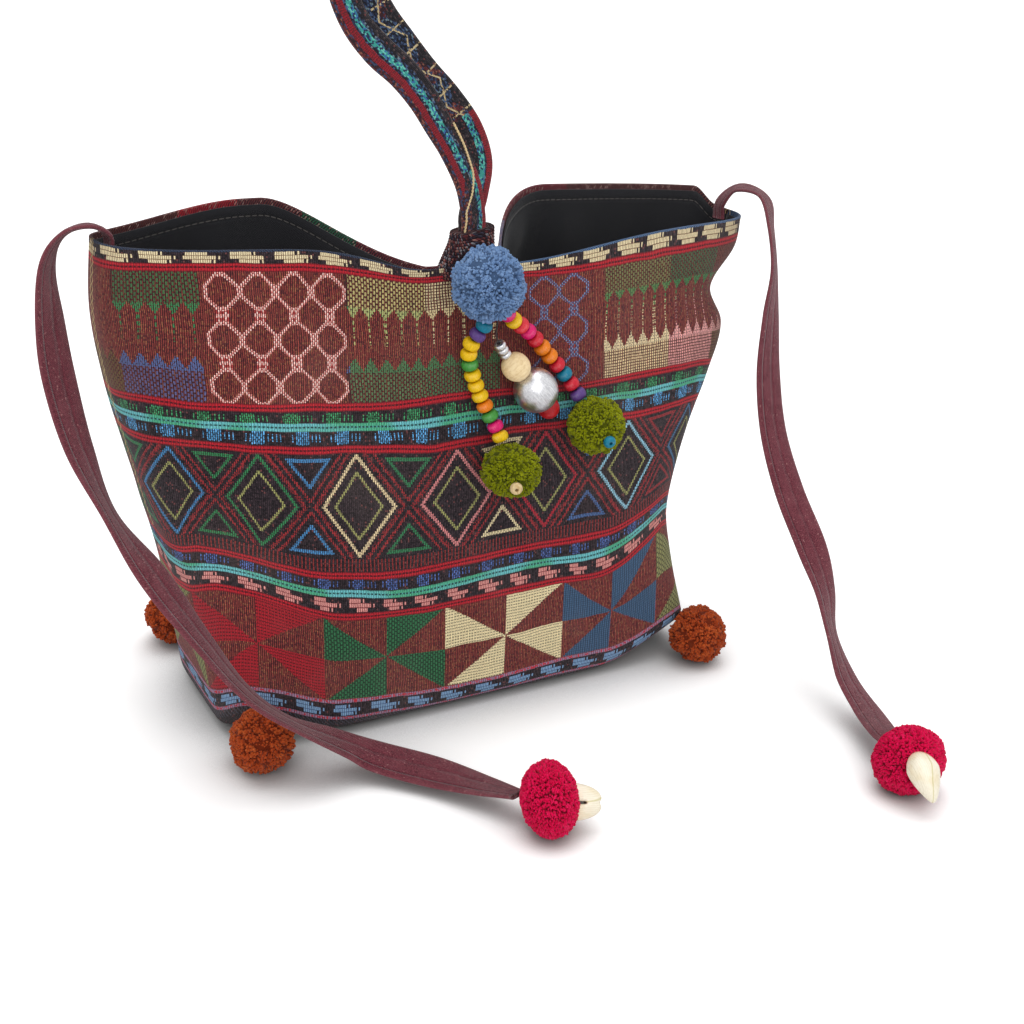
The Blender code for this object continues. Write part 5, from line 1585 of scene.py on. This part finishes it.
def strap_material():
    """Webbing cut from the patterned cloth: speckled stripes, piping and an angular pattern."""
    look = Look("strap_weave", 0.9, Specular_IOR_Level=0.22, Sheen_Weight=0.12)
    across, along, vector = look.uv("band")
    shake = noise_value(vector, 0.22, 2.0)
    x = across * 6.1 + (shake - 0.5) * 1.0
    y = along + (shake - 0.5) * 1.0
    column, warp = cells(x, 0.62)
    row, weft = cells(y + column.odd() * 0.9, 0.9)
    speck = white(column, row)
    again = white(row, column + 40.0)
    fold = noise_value(vector, 0.05, 1.0)

    def threads(*rows):
        """Threads of several colours in random order."""
        return ramp(speck, rows, constant=True)

    dark = threads((0.0, (30, 26, 32)), (0.55, (52, 46, 52)), (0.85, (84, 70, 70)),
                   (0.95, (112, 60, 60)))
    navy = threads((0.0, (24, 24, 34)), (0.42, (44, 56, 84)), (0.7, (74, 96, 134)),
                   (0.9, (120, 140, 150)))
    teal = threads((0.0, (38, 52, 84)), (0.28, (66, 168, 158)), (0.62, (112, 206, 190)),
                   (0.82, (60, 112, 172)))
    mixed = threads((0.0, (58, 32, 40)), (0.3, (104, 46, 50)), (0.56, (62, 74, 108)),
                    (0.78, (150, 92, 76)), (0.88, (44, 34, 44)))
    ribs = (y / 0.95).from_middle() * 2.0
    red = mix(ribs.smooth(0.35, 0.95) * 0.75, (158, 34, 46), (84, 22, 32))
    red = mix((again > 0.8) * 0.55, red, (84, 30, 40))
    cream = threads((0.0, (226, 204, 158)), (0.6, (204, 178, 130)), (0.9, (160, 126, 92)))

    # Front length: speckle, red, navy, teal, dark from left to right
    front = striped(x, dark, ((-9.0, -3.9, mixed), (-3.9, -1.3, red), (-1.3, -0.4, navy),
                              (-0.4, 2.0, teal), (2.0, 3.3, navy)))
    # Its foot, turned over: brown, dark, navy, teal, red from left to right
    border = (40.0 - y) * -0.32 + 3.2
    foot = striped(x, mixed, ((-1.0, 1.3, dark), (1.3, 2.2, navy), (2.2, 3.9, teal),
                              (3.9, 9.0, red)))
    over = both(y < 40.0, x > border.min(3.0) - 3.4)
    look.colour = mix(over, mix(y < 30.0, front, mixed), foot)
    # Back length: angular pattern of dark, blue and maroon fields with cream outlines
    turn = (y / 23.0).from_middle() * 2.0
    field = (y / 11.5).floor()
    edge = turn * 6.0 - 3.4
    angular = mix(white(field, x > edge) > 0.45, navy, mixed)
    angular = mix(x > edge + 3.6, angular, dark)
    angular = mix(both(abs(x - edge) < 0.4, again > 0.1), angular, cream)
    angular = mix(both(abs(turn - 0.5) < 0.035, x > -4.0, again > 0.25), angular, cream)
    look.lay(y > 185.0, angular)
    turned = striped(x, dark, ((-0.6, 2.2, teal), (2.2, 2.9, navy), (2.9, 9.0, red)))
    look.lay(y > 318.0, turned)

    look.lay(abs(across).smooth(0.90, 1.0) * 0.25, (120, 100, 96))
    crown = (1.0 - abs(warp - 0.5) * 1.5) * (1.0 - abs(weft - 0.5) * 1.2)
    # Painted light and shade: each thread lighter on its crown and darker at its edges
    look.lay(1.0, grey(crown * 0.5 + 0.72), "MULTIPLY")
    return look.done(0.95 - crown * 0.12, crown * 1.2 + shake + fold * 5.0, 0.0005, 0.9)


def collar_material():
    """Ribbed wrap of speckled yarn in brown, dark red, grey and black."""
    look = Look("collar_yarn", 0.9, Specular_IOR_Level=0.2)
    around, up, _ = look.uv("band")
    rib, place = cells(up, 1.3)
    turn = around * 92.0 + place * 1.1 + rib.odd()
    look.colour = ramp(white(turn.floor(), rib),
                       ((0.0, (46, 34, 42)), (0.3, (112, 52, 54)), (0.52, (60, 56, 72)),
                        (0.66, (166, 112, 104)), (0.8, (64, 36, 42)), (0.9, (150, 146, 152))),
                       constant=True)
    ply = turn.from_middle() * 2.0
    groove = abs(place - 0.5) * 2.0
    # Painted shade: darker at the edges of each ply and down in the grooves between the wraps
    dim = 1.0 - ply.smooth(0.45, 1.0) * 0.45 - groove.smooth(0.5, 1.0) * 0.4
    look.lay(1.0, grey(dim), "MULTIPLY")
    return look.done(None, (1.0 - groove) - ply * 0.7, 0.0006, 0.9)


def yarn_material(name, dark, mid, light):
    """Cut yarn: each end has its own tone, with painted shade down between the ends and on the
    core.
    """
    look = Look(name, 0.95, Specular_IOR_Level=0.12, Sheen_Weight=0.08, Sheen_Roughness=0.5)
    tone = look.attribute("tone")
    deep = look.attribute("deep")
    fuzz = noise_value(look.place(), 1400.0, 2.0)
    look.colour = ramp(tone * 0.7 + 0.15 + (fuzz - 0.5) * 0.5,
                       ((0.0, dark), (0.5, mid), (1.0, light)))
    # Painted shade: darker down between the yarn ends, between the tufts and on the core
    look.lay(deep.smooth(0.05, 0.95) * 0.85, toned(dark, 0.45))
    return look.done(0.98 - fuzz * 0.1, fuzz, 0.0003, 0.6)


def bead_material(name, colour, worn=0.14):
    """Dyed wooden bead: stain over grain, rubbed along the belly, with painted shade towards both
    bored ends where the beads meet.
    """
    look = Look(name, 0.42, Specular_IOR_Level=0.3, Coat_Weight=0.12, Coat_Roughness=0.25)
    place = look.place()
    grain = noise_value(stretched(place, (1.0, 1.0, 0.22)), 2600.0, 4.0, 0.6)
    blotch = noise_value(place, 420.0, 2.0)
    pale = [c + (0.75 - c) * worn for c in srgb(*colour)] + [1.0]
    look.colour = mix(grain.smooth(0.35, 0.7), toned(colour, 0.72), colour)
    look.lay(blotch.smooth(0.52, 0.78) * 0.6, pale)
    # Painted shade: darker towards both bored ends, where the beads face their neighbours
    end = Value(add_node(look.tree, "SeparateXYZ", ((0, place),)).outputs[2])
    look.lay(abs(end).smooth(0.0017, 0.0028) * 0.35, toned(colour, 0.4))
    return look.done(grain * 0.3 + 0.3, grain * 0.7 + blotch, 0.00012, 0.8)


def wood_material(name, dark, light):
    """Bare turned wood with rings of grain and fine pores."""
    look = Look(name, 0.5, Coat_Weight=0.12)
    place = stretched(look.place(), (1.0, 0.25, 1.0))
    grain = noise_value(place, 900.0, 4.0, 0.65)
    pores = noise_value(place, 5200.0, 2.0)
    look.colour = mix(grain.smooth(0.35, 0.68), light, dark)
    look.lay(pores.smooth(0.62, 0.74) * 0.22, toned(dark, 0.5))
    return look.done(grain * 0.2 + 0.42, grain + pores * 0.4, 0.00012, 0.6)


def silver_material(name, streak):
    """Brushed and slightly dented silver-coloured metal."""
    look = Look(name, 0.3, Metallic=1.0)
    place = look.place()
    brushed = noise_value(stretched(place, (1.0, 1.0, streak), (0.4, 0.7, 0.0)), 1500.0, 4.0, 0.7)
    dents = noise_value(place, 260.0, 2.0)
    look.colour = mix(brushed.smooth(0.3, 0.75), (196, 196, 200), (240, 240, 242))
    look.lay(dents.smooth(0.60, 0.8) * 0.4, (140, 136, 138))
    return look.done(brushed * 0.24 + 0.24, brushed * 0.12 + dents * 1.2, 0.00018, 0.7)


def shell_material():
    """Ivory cowrie, warmer towards the back, with fine growth lines and painted shade in the slit.
    """
    look = Look("cowrie", 0.28, Coat_Weight=0.5, Coat_Roughness=0.12)
    x, along, _ = look.uv("shell")
    place = look.place()
    lines = noise_value(stretched(place, (1.0, 1.0, 0.05)), 1500.0, 3.0)
    cloud = noise_value(place, 160.0, 2.0)
    look.colour = mix(cloud.smooth(0.4, 0.7) * 0.5, (244, 236, 214), (232, 214, 172))
    ribs = (x * 9.0 + (cloud - 0.5) * 1.5).from_middle()
    look.lay(ribs.smooth(0.38, 0.5) * 0.35, (196, 176, 132))
    seam = abs(x + along * 0.25 - 0.05 + (cloud - 0.5) * 0.1)
    look.lay((1.0 - seam.smooth(0.02, 0.07)) * 0.55, (192, 180, 96))
    # Painted shade: dark down the slit of the mouth
    look.lay(look.attribute("mouth").smooth(0.25, 0.8), (52, 34, 26))
    return look.done(lines * 0.15 + 0.2, lines, 0.00012, 0.5)


def thread_material(name="waxed_thread", dark=(24, 20, 22), pale=(66, 50, 48)):
    """Twisted thread."""
    look = Look(name, 0.6)
    fuzz = noise_value(look.place(), 3000.0, 2.0)
    look.colour = mix(fuzz, dark, pale)
    return look.done(fuzz * 0.3 + 0.45, fuzz, 0.0001, 0.5)


BEAD_COLOURS = {
    "teal": (0, 128, 158), "purple": (98, 66, 140), "yellow": (255, 206, 6),
    "green": (72, 158, 64), "orange": (248, 134, 10), "magenta": (236, 14, 116),
    "coral": (236, 52, 66), "red": (216, 26, 50),
}
YARN_COLOURS = {
    "yarn_blue": ((76, 104, 146), (110, 142, 186), (146, 174, 212)),
    "yarn_green": ((84, 92, 0), (130, 136, 0), (166, 172, 30)),
    "yarn_rust": ((124, 40, 16), (172, 70, 28), (208, 108, 52)),
    "yarn_crimson": ((178, 0, 50), (218, 0, 72), (240, 34, 102)),
}
PAINTS = {name: bead_material("bead_" + name, colour) for name, colour in BEAD_COLOURS.items()}
PAINTS.update({
    "red_ball": bead_material("bead_red_ball", (200, 24, 34), 0.12),
    "wood_ball": wood_material("bare_wood", (230, 200, 148), (248, 224, 178)),
    "beige": wood_material("bead_beige", (196, 164, 110), (226, 204, 156)),
    "silver": silver_material("silver_rings", 1.0),
    "silver_ball": silver_material("silver_ball_metal", 0.12),
    "shell": shell_material(),
    "thread": thread_material(),
    "tie": tie_material(),
})
PAINTS.update({name: yarn_material(name, *tones) for name, tones in YARN_COLOURS.items()})
FRONT_PAINT = cloth_material("woven_front", "front")
BACK_PAINT = cloth_material("woven_back", "back")
LINING_PAINT = lining_material()
STRAP_PAINT = strap_material()
COLLAR_PAINT = collar_material()

make_ties(PAINTS)
make_panel("front", FRONT_PAINT)
make_panel("back", BACK_PAINT)
make_base(FRONT_PAINT)
make_lining(LINING_PAINT)
make_collar(COLLAR_PAINT)
make_strap(STRAP_PAINT, thread_material("piping", (186, 154, 104), (240, 218, 172)))
make_pompom("yarn_blue_pompom", BLUE_CENTRE, BLUE_RADIUS, PAINTS["yarn_blue"], "root",
            ("blue_pompom",), 9, count=4000, level=False, uneven=0.13, girth=0.043, tufts=130,
            gather=0.24)
make_bead_strand("left", LEFT_STRAND, LEFT_BEADS, 0.0050, "beige", (-0.32, -0.92, -0.19), 7, 0.90,
                 PAINTS)
make_middle_strand(PAINTS)
make_bead_strand("right", RIGHT_STRAND, RIGHT_BEADS, 0.0055, "teal", (-0.08, -0.90, -0.18), 8,
                 1.0, PAINTS)
make_corner_pompoms(PAINTS)
